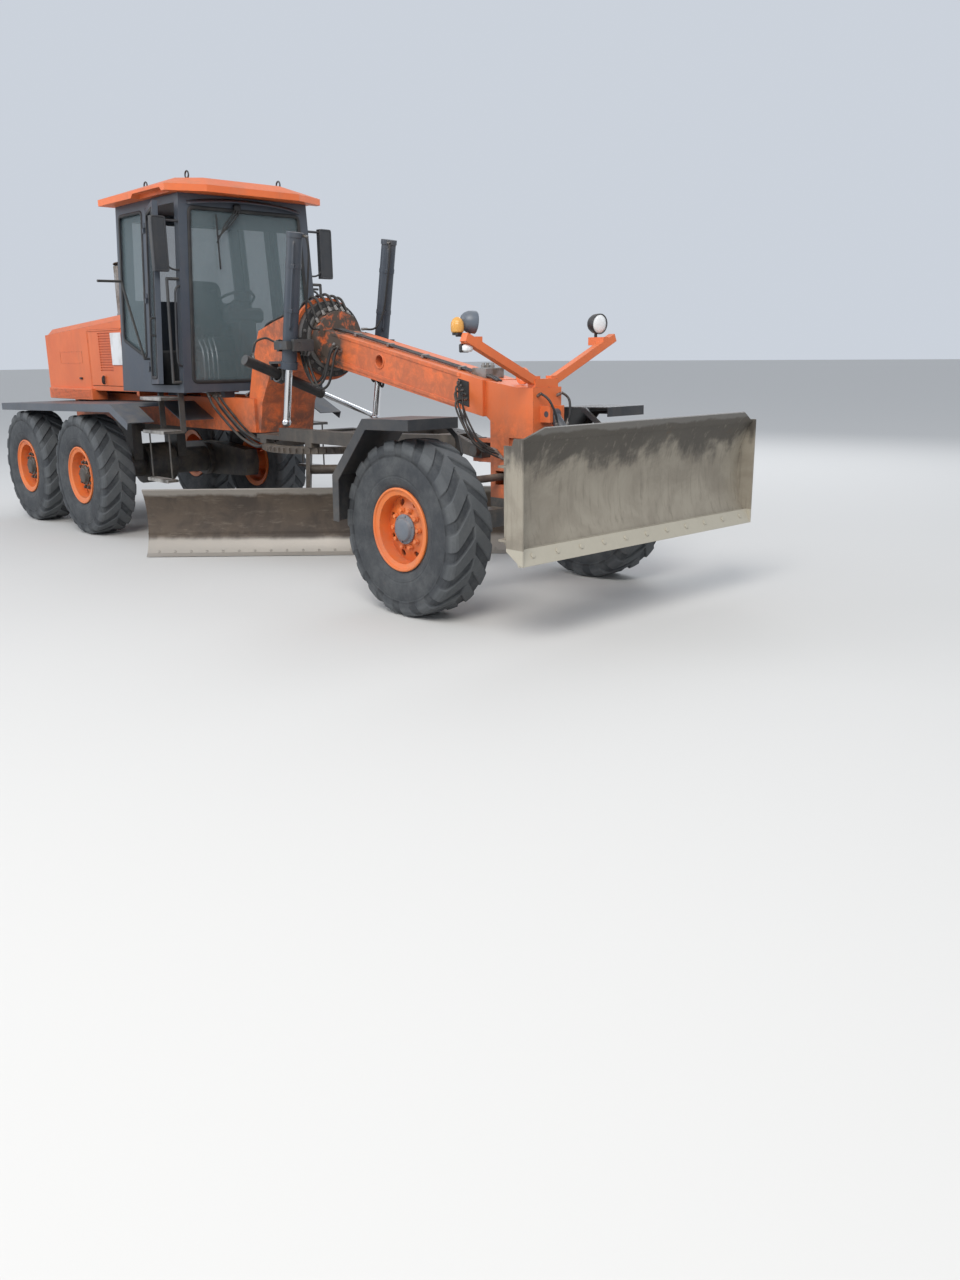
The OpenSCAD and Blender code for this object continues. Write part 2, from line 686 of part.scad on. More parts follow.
function cab_section(inset) = [
    [inset - cab_half, cab_low + inset], [cab_half - inset, cab_low + inset],
    [cab_half_top - inset, cab_top - inset], [inset - cab_half_top, cab_top - inset]
];
module cab_walls() difference() {
    strip(cab_x0, cab_x1) polygon(cab_section(0));
    strip(cab_x0 + wall, cab_x1 - wall) polygon(cab_section(wall));
}
module doorway(gap) {
    polygon([
        [doorway_x0 + gap, doorway_z0 + gap], [doorway_x1 - gap, doorway_z0 + gap],
        [doorway_x1 - gap, doorway_z1 - gap], [doorway_x0 + gap, doorway_z1 - gap]
    ]);
}
hinge_zs = [1700, 2350, 3000];
knuckle_h = 45;
strap_t = 9;
// Hinge knuckles and straps: part 0 is on the pillar, part 1 on the door
module door_hinge(part) {
    for (z = hinge_zs) {
        z0 = z + part * (knuckle_h + seat_gap);
        translate([doorway_x0, hinge_y(z0), z0]) rotate([atan(lean_in), 0, 0]) {
            bar_z(hinge_r, 0, knuckle_h);
            mirror([1 - part, 0, 0]) {
                box([part * (door_gap + 1), -hinge_out - 1, 0], [60, strap_t - hinge_out, knuckle_h]);
                box([0, -hinge_out, 0], [hinge_r - 1, 0, knuckle_h]);
            }
        }
    }
}
module cab_body() color("#4b5560") difference() {
    union() {
        cab_walls();
        both_sides() door_hinge(0);
        // Four feet down to the rails
        both_sides() for (x = [cab_x0 + 60, cab_x1 - 260])
            box([x, rail_in, rail_top], [x + 200, rail_out, cab_low + 1]);
    }
    both_sides() {
        slab(cab_half_top - 2 * wall, cab_half + 10) doorway(0);
        slab(cab_half_top - 2 * wall, cab_half + 10) polygon(quarter_outline);
    }
    strip(cab_x1 - wall - 1, cab_x1 + 1) polygon(screen_outline);
    strip(cab_x0 - 1, cab_x0 + wall + 1) polygon(rear_outline);
}
glass_t = 6;
module cab_glass() color("lightblue", 0.4) {
    strip(cab_x1 - 20, cab_x1 - 20 + glass_t) polygon(screen_outline);
    strip(cab_x0 + 20, cab_x0 + 20 + glass_t) polygon(rear_outline);
    both_sides() intersection() {
        slab(cab_half_top - 2 * wall, cab_half + 10) polygon(quarter_outline);
        difference() {
            strip(cab_x0, cab_x1) polygon(cab_section(20));
            strip(cab_x0 - 1, cab_x1 + 1) polygon(cab_section(20 + glass_t));
        }
    }
}
roof_outline = [
    [-1960, -850], [-540, -850], [-390, -500], [-390, 500], [-540, 850], [-1960, 850]
];
roof_crown = [
    [-1780, -560], [-760, -620], [-600, -420], [-600, 420], [-760, 620], [-1780, 560]
];
roof_skirt = 60;
roof_rise = 150;
module cab_roof() color("orangered") difference() {
    translate([0, 0, cab_top]) hull() {
        linear_extrude(roof_skirt) polygon(roof_outline);
        translate([0, 0, roof_rise - 1]) linear_extrude(1) polygon(roof_crown);
    }
    // The skirt is cut away over each doorway
    both_sides() slab(cab_half_top + 60, 900) polygon([
        [-1230, cab_top - 1], [-1190, cab_top + 35], [-640, cab_top + 35], [-600, cab_top - 1]
    ]);
}
module cab_interior() color("#2b2b2b") {
    box([-1500, -180, floor_z], [-1180, 180, floor_z + 330]);
    box([-1560, -250, floor_z + 330], [-1090, 250, floor_z + 450]);
    box([-1640, -230, floor_z + 400], [-1561, 230, floor_z + 1080]);
    box([-820, -110, floor_z], [-700, 110, floor_z + 700]);
    translate([-800, 0, floor_z + 700]) rotate([0, -25, 0]) {
        bar_z(25, -20, 120);
        translate([0, 0, 120]) rotate_extrude($fn = 48) translate([190, 0]) circle(14, $fn = 24);
        translate([0, 0, 112]) box([-190, -15, 0], [190, 15, 12]);
    }
}
// Hinged at its rear edge, drawn closed for the left side
function hinge_y(z) = cab_half + hinge_out - lean_in * (z - cab_low);
module door() difference() {
    union() {
        intersection() {
        strip(cab_x0, cab_x1) difference() {
            polygon(cab_section(0));
            polygon(cab_section(wall));
        }
        slab(cab_half_top - 2 * wall, cab_half + 10) doorway(door_gap);
        }
        door_hinge(1);
    }
    slab(cab_half_top - 2 * wall, cab_half + 10) doorway(frame_w);
}
module door_left() color("#4b5560") door();
module door_right() color("#4b5560") mirror([0, 1, 0])
    translate([doorway_x0, hinge_y(cab_low), cab_low]) rotate(a = door_open, v = [0, -lean_in, 1])
        translate([-doorway_x0, -hinge_y(cab_low), -cab_low]) door();

// Steps below the doors, grab rails and bent marker rods, for both sides
function side_y(z) = cab_half - lean_in * (z - cab_low);
step_x0 = -1200;
step_x1 = -750;
step_in = 715;
step_out = 960;
module bent_rod(points, r) {
    for (i = [1:len(points) - 1])
        rod(points[i - 1], points[i], r);
    for (i = [1:len(points) - 2])
        translate(points[i]) sphere(r = r, $fn = 24);
}
module cab_steps() color("#5b6066") both_sides() {
    for (x = [step_x0 + 5, step_x1 - 25])
        box([x, step_in, 1120], [x + 20, 770, cab_low]);
    for (z = [1110, 1430])
        box([step_x0, 740, z], [step_x1, step_out, z + 25]);
    for (x = [step_x0 + 20, step_x1 - 20])
        rod([x, 900, 1125], [x, 900, 650], 8);
    box([step_x0 + 5, 845, 640], [step_x1 - 5, 955, 662]);
    bent_rod([[-1285, side_y(1808) + seat_gap, 1820], [-1285, 830, 1822], [-1280, 1000, 2546],
        [-1237, 1257, 2540]], 12);
    bent_rod([[-620, side_y(1586) + seat_gap, 1600], [-620, 880, 1600], [-620, 860, 2540],
        [-620, side_y(2526) + seat_gap, 2540]], 14);
}
mirror_x = cab_x1 - 20;
mirror_in = cab_half + 50;
mirror_out = cab_half + 190;
mirror_low = 2600;
mirror_top = 3080;
module mirrors() color("#1d2022") both_sides() {
    box([mirror_x - 30, mirror_in, mirror_low], [mirror_x + 25, mirror_out, mirror_top]);
    translate([mirror_x, 0, mirror_top - 30]) bar_y(12, side_y(mirror_top - 42) + seat_gap, mirror_in + 10);
}

// Light bar over the nose, with two round work lamps
lamp_y = 664;
lamp_z = 2045;
lamp_r = 75;
bar_pad_z = 1945;
arm_line = [[60, 1610], [120, 1610], [790, 1915]];
module light_bar() color("orangered") {
    box([nose_x - 85, -120, nose_top], [nose_x - 5, 120, 1650]);
    both_sides() {
        strip(nose_x - 75, nose_x - 15) polygon(band(arm_line, 60));
        box([nose_x - 170, lamp_y - 30, bar_pad_z - 60], [nose_x - 15, lamp_y + 30, bar_pad_z]);
    }
}
module work_lamps() color("#1d2022") both_sides() translate([nose_x - 120, lamp_y, 0]) {
    translate([0, 0, lamp_z]) bar_x(lamp_r, -50, 45);
    box([-15, -15, bar_pad_z], [15, 15, lamp_z - lamp_r + 10]);
}

// Blade lift cylinders, drawn for the left side round the cardan ring's centre
lift_top = [1010, 2830];
lift_tilt = atan2(lift_top[0] - gim_x, lift_top[1] - gim_z);
lift_up = norm([lift_top[0] - gim_x, lift_top[1] - gim_z]);
lift_down = 200;
lift_rod_r = 32;
lift_ball_r = 40;
bar_h = 110;
bar_top = ball_z + bar_h;
lift_float = 8;
lift_rod_len = (gim_z - bar_top - lift_float - lift_ball_r) / cos(lift_tilt);
gimbal_in_x = 84;
gimbal_in_y = 72;
module lift_gimbal() difference() {
    union() {
        box([-gim_half, -gim_half, -gim_t], [gim_half, gim_half, gim_t]);
        bar_x(gim_pin_r, -gim_half - 36, gim_half + 36);
    }
    box([-gimbal_in_x, -gimbal_in_y, -gim_t - 1], [gimbal_in_x, gimbal_in_y, gim_t + 1]);
    bar_y(trunnion_r + pin_gap, -gim_half - 1, gim_half + 1);
}
module lift_barrel() rotate([0, lift_tilt, 0]) difference() {
    union() {
        bar_z(barrel_r, -lift_down, lift_up);
        bar_z(barrel_r + 9, -lift_down, -lift_down + 60);
        bar_z(barrel_r + 6, lift_up - 40, lift_up);
        bar_y(trunnion_r, -gim_half + 1, gim_half - 1);
    }
    bar_z(lift_rod_r + pin_gap, -lift_down - 1, lift_up - 20);
}
module lift_rod() rotate([0, lift_tilt, 0]) {
    bar_z(lift_rod_r, -lift_rod_len, 250);
    translate([0, 0, -lift_rod_len]) sphere(r = lift_ball_r, $fn = 48);
}
module put_lift(side) translate([gim_x, side * gim_y, gim_z]) children();
module lift_gimbal_left() color("dimgray") put_lift(1) lift_gimbal();
module lift_gimbal_right() color("dimgray") put_lift(-1) lift_gimbal();
module lift_barrel_left() color("#3a4653") put_lift(1) lift_barrel();
module lift_barrel_right() color("#3a4653") put_lift(-1) lift_barrel();
module lift_rod_left() color("silver") put_lift(1) lift_rod();
module lift_rod_right() color("silver") put_lift(-1) lift_rod();

// Side-shift cylinder, drawn along +X from its ring's centre
shift_barrel_r = 45;
shift_barrel_back = -400;
shift_barrel_front = 495;
shift_rod_r = 25;
shift_rod_back = 20;
shift_tip_r = 34;
module put_shift() translate(shift_root) rotate([0, 0, shift_yaw]) children();
module shift_trunnions(r, from, to) translate(shift_root) for (side = [-1, 1])
    rod(side * from * shift_axis, side * to * shift_axis, r);
module side_shift_yoke() color("dimgray") difference() {
    put_shift() {
        rotate([0, shift_drop, 0]) difference() {
            bar_x(shift_ring_out, -shift_ring_half, shift_ring_half);
            bar_x(shift_ring_in, -shift_ring_half - 1, shift_ring_half + 1);
        }
        both_sides() bar_y(shift_pin_r, shift_ring_out - 8, shift_lug_out + 4);
    }
    shift_trunnions(shift_trunnion_r + pin_gap, shift_ring_in - 6, shift_ring_out + 10);
}
module side_shift_barrel() color("#202326") {
    put_shift() rotate([0, shift_drop, 0]) difference() {
        union() {
            bar_x(shift_barrel_r, shift_barrel_back, shift_barrel_front);
            bar_x(shift_barrel_r + 4, shift_barrel_front - 40, shift_barrel_front);
        }
        bar_x(shift_rod_r + pin_gap, shift_barrel_back + 30, shift_barrel_front + 1);
    }
    shift_trunnions(shift_trunnion_r, shift_barrel_r - 15, shift_ring_out - 1);
}
module side_shift_rod() color("silver") put_shift() rotate([0, shift_drop, 0]) {
    bar_x(shift_rod_r, shift_rod_back, shift_len);
    translate([shift_len, 0, 0]) sphere(r = shift_tip_r, $fn = 48);
    // Shank of the ball, over the drawbar's seat
    translate([shift_len, 0, 0]) rotate([0, -shift_drop, 0]) bar_z(18, -shift_tip_r - 40, 0);
}

// Drawbar with its nose swivel
circle_x = ball_x - circle_back;
leg_in = 455;
leg_out = 545;
ear_in = 62;
ear_out = 110;
rear_beam_x = 270;
leg_step = 70;
circle_top = 1060;
circle_t = 60;
circle_in = 560;
leg_line = [
    [ball_x - 190, ear_in], [ball_x - 190, ear_out + 10], [1740, leg_out], [rear_beam_x, leg_out],
    [rear_beam_x, leg_in], [1700, leg_in], [ball_x - 270, ear_in]
];
module drawbar_swivel() color("dimgray") translate([ball_x, 0, ball_z]) {
    box([-55, -ear_in + 1, -swivel_r], [55, ear_in - 1, swivel_r]);
    bar_z(swivel_pin_r, -swivel_r - fork_plate - 5, swivel_r + fork_plate + 5);
    bar_y(swivel_pin_r, -swivel_pin_half, swivel_pin_half);
}
module drawbar() color("#3d3f41") difference() {
    union() {
        both_sides() {
            translate([0, 0, ball_z]) linear_extrude(bar_h) polygon(leg_line);
            slab(ear_in, ear_out) polygon([
                [ball_x, ball_z - 50], [ball_x, ball_z + 50], [ball_x - 190, bar_top],
                [ball_x - 400, bar_top], [ball_x - 400, ball_z], [ball_x - 190, ball_z - 20]
            ]);
            translate([ball_x, 0, ball_z]) bar_y(50, ear_in, ear_out);
            // Shoes that ride on the circle
            for (x = [circle_x - 366, circle_x + 366])
                box([x - 50, leg_in, circle_top + seat_gap], [x + 50, leg_out, ball_z + 1]);
        }
        // Seat for the side-shift ball, outside the left leg
        box([shift_end[0] - 50, leg_out - 1, ball_z + 1], [shift_end[0] + 50, shift_end[1] + 50, ball_z + 30]);
        for (x = [rear_beam_x, circle_x + 760])
            box([x, -leg_in - 1, ball_z], [x + 120, leg_in + 1, bar_top]);
        box([ball_x - 380, -ear_out, ball_z], [ball_x - 250, ear_out, bar_top]);
    }
    translate([ball_x, 0, ball_z]) bar_y(swivel_pin_r + pin_gap, -ear_out - 1, ear_out + 1);
    // Both legs are lower behind the lift balls, under the side-shift cylinder
    box([rear_beam_x - 1, -leg_out - 1, bar_top - leg_step], [shift_root[0] + 85, leg_out + 1, bar_top + 1]);
}

// Circle with two arms down to the blade
arm_in = 300;
arm_out = 340;
tip_x = -260;
tip_z = 380;
tip_r = 30;
tooth_h = 18;
module put_blade() translate([circle_x, 0, 0]) rotate([0, 0, -blade_turn]) children();
module turntable() color("#4a4540") put_blade() difference() {
    union() {
        difference() {
            union() {
                bar_z(circle_r, circle_top - circle_t, circle_top);
                translate([0, 0, circle_top - circle_t + 10]) linear_extrude(circle_t - 20)
                    for (k = [0:tooth_count - 1])
                        rotate([0, 0, k * 360 / tooth_count]) translate([circle_r - 3, 0])
                            polygon([[0, -13], [tooth_h + 3, -7], [tooth_h + 3, 7], [0, 13]]);
            }
            bar_z(circle_in, circle_top - circle_t - 1, circle_top + 1);
        }
        both_sides() slab(arm_in, arm_out) polygon([
            [-560, circle_top - circle_t + 1], [-400, circle_top - circle_t + 1], [-225, 480], [tip_x + 50, tip_z],
            [tip_x, tip_z - 50], [tip_x - 50, tip_z], [-330, 520]
        ]);
        both_sides() translate([tip_x, 0, tip_z]) bar_y(50, arm_in, arm_out);
        translate([-420, 0, 760]) bar_y(45, -arm_in - 1, arm_in + 1);
    }
    translate([tip_x, 0, tip_z]) bar_y(tip_r + pin_gap, -arm_out - 1, arm_out + 1);
}

// Blade carrier and moldboard; the rails are T-shaped and slide in the carrier's shoes
blade_arc = 480;
blade_cx = 430;
blade_cz = 330;
plate_t = 16;
rail_zs = [205, 475];
head_x0 = -110;
head_x1 = -80;
head_half = 25;
neck_half = 10;
shoe_front = -67;
shoe_y0 = 200;
shoe_y1 = 400;
module rail_shape(z, gap) {
    polygon([
        [head_x0 - gap, z - head_half - gap], [head_x1 + gap, z - head_half - gap],
        [head_x1 + gap, z - neck_half - gap], [-30, z - neck_half - gap],
        [-30, z + neck_half + gap], [head_x1 + gap, z + neck_half + gap],
        [head_x1 + gap, z + head_half + gap], [head_x0 - gap, z + head_half + gap]
    ]);
}
module blade_carrier() color("#3d3f41") put_blade() difference() {
    union() {
        box([head_x0 - 40, -shoe_y1, 150], [head_x0 - seat_gap, shoe_y1, 530]);
        both_sides() {
            for (z = rail_zs)
                box([head_x0 - 1, shoe_y0, z - 50], [shoe_front, shoe_y1, z + 50]);
            slab(arm_out + 5, arm_out + 45) polygon([
                [head_x0 - 39, 300], [head_x0 - 39, 460], [tip_x, tip_z + 50], [tip_x, tip_z - 50]
            ]);
            translate([tip_x, 0, tip_z]) {
                bar_y(50, arm_out + 5, arm_out + 45);
                bar_y(tip_r, arm_in, arm_out + 45);
            }
        }
    }
    for (z = rail_zs)
        slab(-shoe_y1 - 1, shoe_y1 + 1) rail_shape(z, seat_gap);
}
module moldboard() color("#6d665c") put_blade() {
    slab(-blade_len / 2, blade_len / 2) {
        intersection() {
            translate([blade_cx, blade_cz]) difference() {
                circle(blade_arc + plate_t, $fn = 96);
                circle(blade_arc, $fn = 96);
            }
            polygon([[blade_cx, blade_cz], [-200, blade_cz + 500], [-200, blade_cz - 500]]);
        }
        polygon([[34, 40], [52, 34], [92, 6], [74, 6]]);
    }
    slab(-blade_len / 2, blade_len / 2) {
        rail_shape(rail_zs[0], 0);
        rail_shape(rail_zs[1], 0);
    }
}

// Dozer blade and its push frame
dozer_arc = 732;
dozer_t = 12;
dozer_face_x = 4300;
dozer_mid_z = dozer_z + 387;
dozer_fold = 1330;
dozer_ribs = [95, 445, 825];
dozer_sweep = 615;
dozer_tip_x = 4436;
visor_h = 92;
visor_cut = 180;
visor_tilt = 30.8;
push_in = 131;
push_out = 171;
dozer_rod_x = 3950;
dozer_rod_z = 900;
dozer_lug_in = 45;
dozer_lug_out = 75;
module dozer() color("#8a8378") {
    difference() {
        union() {
            both_sides() {
                slab(push_in, push_out) polygon([
                    [dozer_pivot_x, push_z - 50], [dozer_pivot_x, push_z + 50], [dozer_rod_x - 60, push_z + 40],
                    [4200, 1050], [4330, 1050], [4330, 640], [4200, 640], [3600, push_z - 70]
                ]);
                translate([dozer_pivot_x, 0, push_z]) {
                    bar_y(50, push_in, push_out);
                    bar_y(dozer_pin_r, dozer_hanger_half - dozer_lug - 5, push_out);
                }
                for (from_end = dozer_ribs)
                    box([dozer_face_x - 110, dozer_len / 2 - from_end, dozer_z + 103],
                        [dozer_face_x + 100, dozer_len / 2 - from_end + 14, 1280]);
                slab(dozer_lug_in, dozer_lug_out) polygon([
                    [dozer_rod_x - 40, dozer_rod_z + 40], [dozer_rod_x + 45, dozer_rod_z + 40],
                    [dozer_rod_x + 110, 820], [dozer_rod_x + 110, 750], [dozer_rod_x, 750]
                ]);
            }
            box([dozer_rod_x + 70, -push_out, 740], [dozer_rod_x + 150, push_out, 820]);
            for (z = [690, 1150])
                box([4200, -dozer_len / 2 + 20, z], [4400, dozer_len / 2 - 20, z + 14]);
        }
        translate([dozer_face_x + dozer_arc, 0, dozer_mid_z])
            bar_y(dozer_arc + dozer_t - 5, -dozer_len, dozer_len);
    }
    slab(-dozer_len / 2, dozer_len / 2) {
        intersection() {
            translate([dozer_face_x + dozer_arc, dozer_mid_z]) difference() {
                circle(dozer_arc + dozer_t, $fn = 128);
                circle(dozer_arc, $fn = 128);
            }
            polygon([[dozer_face_x + 800, dozer_mid_z], [dozer_face_x - 300, dozer_mid_z - dozer_sweep],
                [dozer_face_x - 300, dozer_mid_z + dozer_sweep]]);
        }
    }
    // Visor above the fold, its corners cut off, and the cutting edge below
    translate([dozer_face_x + 96, 0, dozer_fold - 10]) rotate([0, visor_tilt, 0]) strip(0, dozer_t) polygon([
        [-dozer_len / 2, 0], [dozer_len / 2, 0], [dozer_len / 2 - visor_cut, visor_h],
        [visor_cut - dozer_len / 2, visor_h]
    ]);
    slab(-dozer_len / 2, dozer_len / 2)
        polygon([[dozer_tip_x - 32, dozer_z + 20], [dozer_tip_x - 16, dozer_z], [dozer_tip_x, dozer_z],
            [dozer_tip_x - 46, dozer_z + 103], [dozer_tip_x - 62, dozer_z + 103]]);
    // End cheeks
    both_sides() slab(dozer_len / 2 - 10, dozer_len / 2)
        polygon([[dozer_face_x - 10, dozer_z + 83], [dozer_tip_x - 36, dozer_z + 10], [dozer_tip_x, dozer_z],
            [dozer_tip_x, dozer_fold + 5], [dozer_face_x + 60, dozer_fold + 5], [dozer_face_x - 10, 1150]]);
}
dozer_root = [dozer_top_x + 95, 0, dozer_top_z];
dozer_run = [dozer_rod_x, 0, dozer_rod_z] - dozer_root;
dozer_len0 = norm(dozer_run);
dozer_drop = atan2(-dozer_run[2], dozer_run[0]);
module dozer_barrel() color("#3a4653") translate(dozer_root) rotate([0, dozer_drop, 0]) difference() {
    union() {
        bar_y(38, -44, 44);
        bar_y(dozer_cyl_pin, -75, 75);
        bar_x(42, 30, 420);
    }
    bar_x(24 + pin_gap, 60, 421);
}
module dozer_rod() color("silver") translate(dozer_root) rotate([0, dozer_drop, 0]) {
    bar_x(24, 100, dozer_len0 - 20);
    translate([dozer_len0, 0, 0]) bar_y(34, -40, 40);
}

main_frame();
front_bolster();
saddle();
front_axle();
tandem_axle();
rear_fenders();
powertrain();
hood();
hood_door_right();
hood_door_left();
radiator_grille();
exhaust_stack();
cab_body();
cab_roof();
cab_glass();
cab_interior();
cab_steps();
mirrors();
door_right();
door_left();
light_bar();
work_lamps();
lean_bracket_right();
lean_bracket_left();
lean_bar();
tie_rod();
tie_rod_stud();
knuckle_right();
knuckle_left();
front_fender_right();
front_fender_left();
wheel_front_right();
wheel_front_left();
wheel_mid_right();
wheel_mid_left();
wheel_rear_right();
wheel_rear_left();
tyre_front_right();
tyre_front_left();
tyre_mid_right();
tyre_mid_left();
tyre_rear_right();
tyre_rear_left();
lift_gimbal_right();
lift_barrel_right();
lift_rod_right();
lift_gimbal_left();
lift_barrel_left();
lift_rod_left();
side_shift_yoke();
side_shift_barrel();
side_shift_rod();
drawbar_swivel();
drawbar();
turntable();
blade_carrier();
moldboard();
dozer();
dozer_barrel();
dozer_rod();
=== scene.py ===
"""The dressed motor grader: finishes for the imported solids, and the pieces that the solids leave to the looks.

Row frame, in metres: +X forward, +Y to the operator's left, +Z up, the ground at z = 0.
"""
import math

import bmesh
import bpy
import numpy as np
from mathutils import Matrix, Vector


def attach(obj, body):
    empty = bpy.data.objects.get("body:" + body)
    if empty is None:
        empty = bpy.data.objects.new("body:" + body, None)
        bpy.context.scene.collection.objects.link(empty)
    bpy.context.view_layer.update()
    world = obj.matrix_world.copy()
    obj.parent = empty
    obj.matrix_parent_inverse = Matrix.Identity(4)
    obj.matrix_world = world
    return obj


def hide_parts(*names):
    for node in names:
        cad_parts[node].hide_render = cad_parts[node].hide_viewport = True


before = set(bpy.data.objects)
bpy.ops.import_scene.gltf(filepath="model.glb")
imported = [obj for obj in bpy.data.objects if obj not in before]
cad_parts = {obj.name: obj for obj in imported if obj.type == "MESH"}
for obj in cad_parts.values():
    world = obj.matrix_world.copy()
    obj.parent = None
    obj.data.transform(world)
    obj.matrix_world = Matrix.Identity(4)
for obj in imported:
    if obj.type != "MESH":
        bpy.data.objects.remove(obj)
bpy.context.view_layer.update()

# Camera: a phone held at eye height to the right of the machine's nose, looking back along it.
# Place, heading, tilt and focal length come from a fit to the machine's own points in the photograph.
cam_place = np.array([8.892, -5.729, 1.826])
heading, pitch, roll = np.radians([47.245, 15.279, -0.641])
ahead = np.array([-math.sin(heading) * math.cos(pitch), math.cos(heading) * math.cos(pitch), -math.sin(pitch)])
level = np.array([math.cos(heading), math.sin(heading), 0.0])
upward = np.cross(level, ahead)
cam_right = level * math.cos(roll) + upward * math.sin(roll)
cam_up = -level * math.sin(roll) + upward * math.cos(roll)
camera = bpy.data.objects.new("camera", bpy.data.cameras.new("camera"))
bpy.context.scene.collection.objects.link(camera)
camera_matrix = np.eye(4)
camera_matrix[:3, :4] = np.stack([cam_right, cam_up, -ahead, cam_place], axis=1)
camera.matrix_world = Matrix(camera_matrix.tolist())
focal_pixels, frame_pixels, sensor_mm = 1044.987, 1280.0, 36.0
camera.data.sensor_fit = "AUTO"
camera.data.sensor_width = sensor_mm
camera.data.lens = focal_pixels * sensor_mm / frame_pixels
camera.data.clip_end = 300.0
bpy.context.scene.camera = camera


# Shader maths: a Value is one output of a material's nodes, and signs between Values add Math nodes.
# Colours go through Mix nodes, and any other node comes from Finish.node.
class Value:
    """One number over a surface; each sign adds one Math node."""

    def __init__(self, finish, socket):
        self.finish, self.socket = finish, socket

    def _maths(self, operation, first, second):
        node = self.finish.tree.nodes.new("ShaderNodeMath")
        node.operation = operation
        self.finish.feed(node.inputs[0], first)
        self.finish.feed(node.inputs[1], second)
        return Value(self.finish, node.outputs[0])

    def __add__(self, other):
        return self._maths("ADD", self, other)

    def __sub__(self, other):
        return self._maths("SUBTRACT", self, other)

    def __mul__(self, other):
        return self._maths("MULTIPLY", self, other)

    def __radd__(self, other):
        return self._maths("ADD", other, self)

    def __rsub__(self, other):
        return self._maths("SUBTRACT", other, self)

    def __rmul__(self, other):
        return self._maths("MULTIPLY", other, self)

    def above(self, edge, width):
        """0 below edge, 1 above edge + width, with a smooth step between."""
        node = self.finish.tree.nodes.new("ShaderNodeMapRange")
        node.interpolation_type = "SMOOTHSTEP"
        self.finish.feed(node.inputs["Value"], self)
        node.inputs["From Min"].default_value = edge
        node.inputs["From Max"].default_value = edge + width
        return Value(self.finish, node.outputs["Result"])

    def limited(self):
        """Held between 0 and 1."""
        node = self.finish.tree.nodes.new("ShaderNodeClamp")
        self.finish.feed(node.inputs["Value"], self)
        return Value(self.finish, node.outputs["Result"])


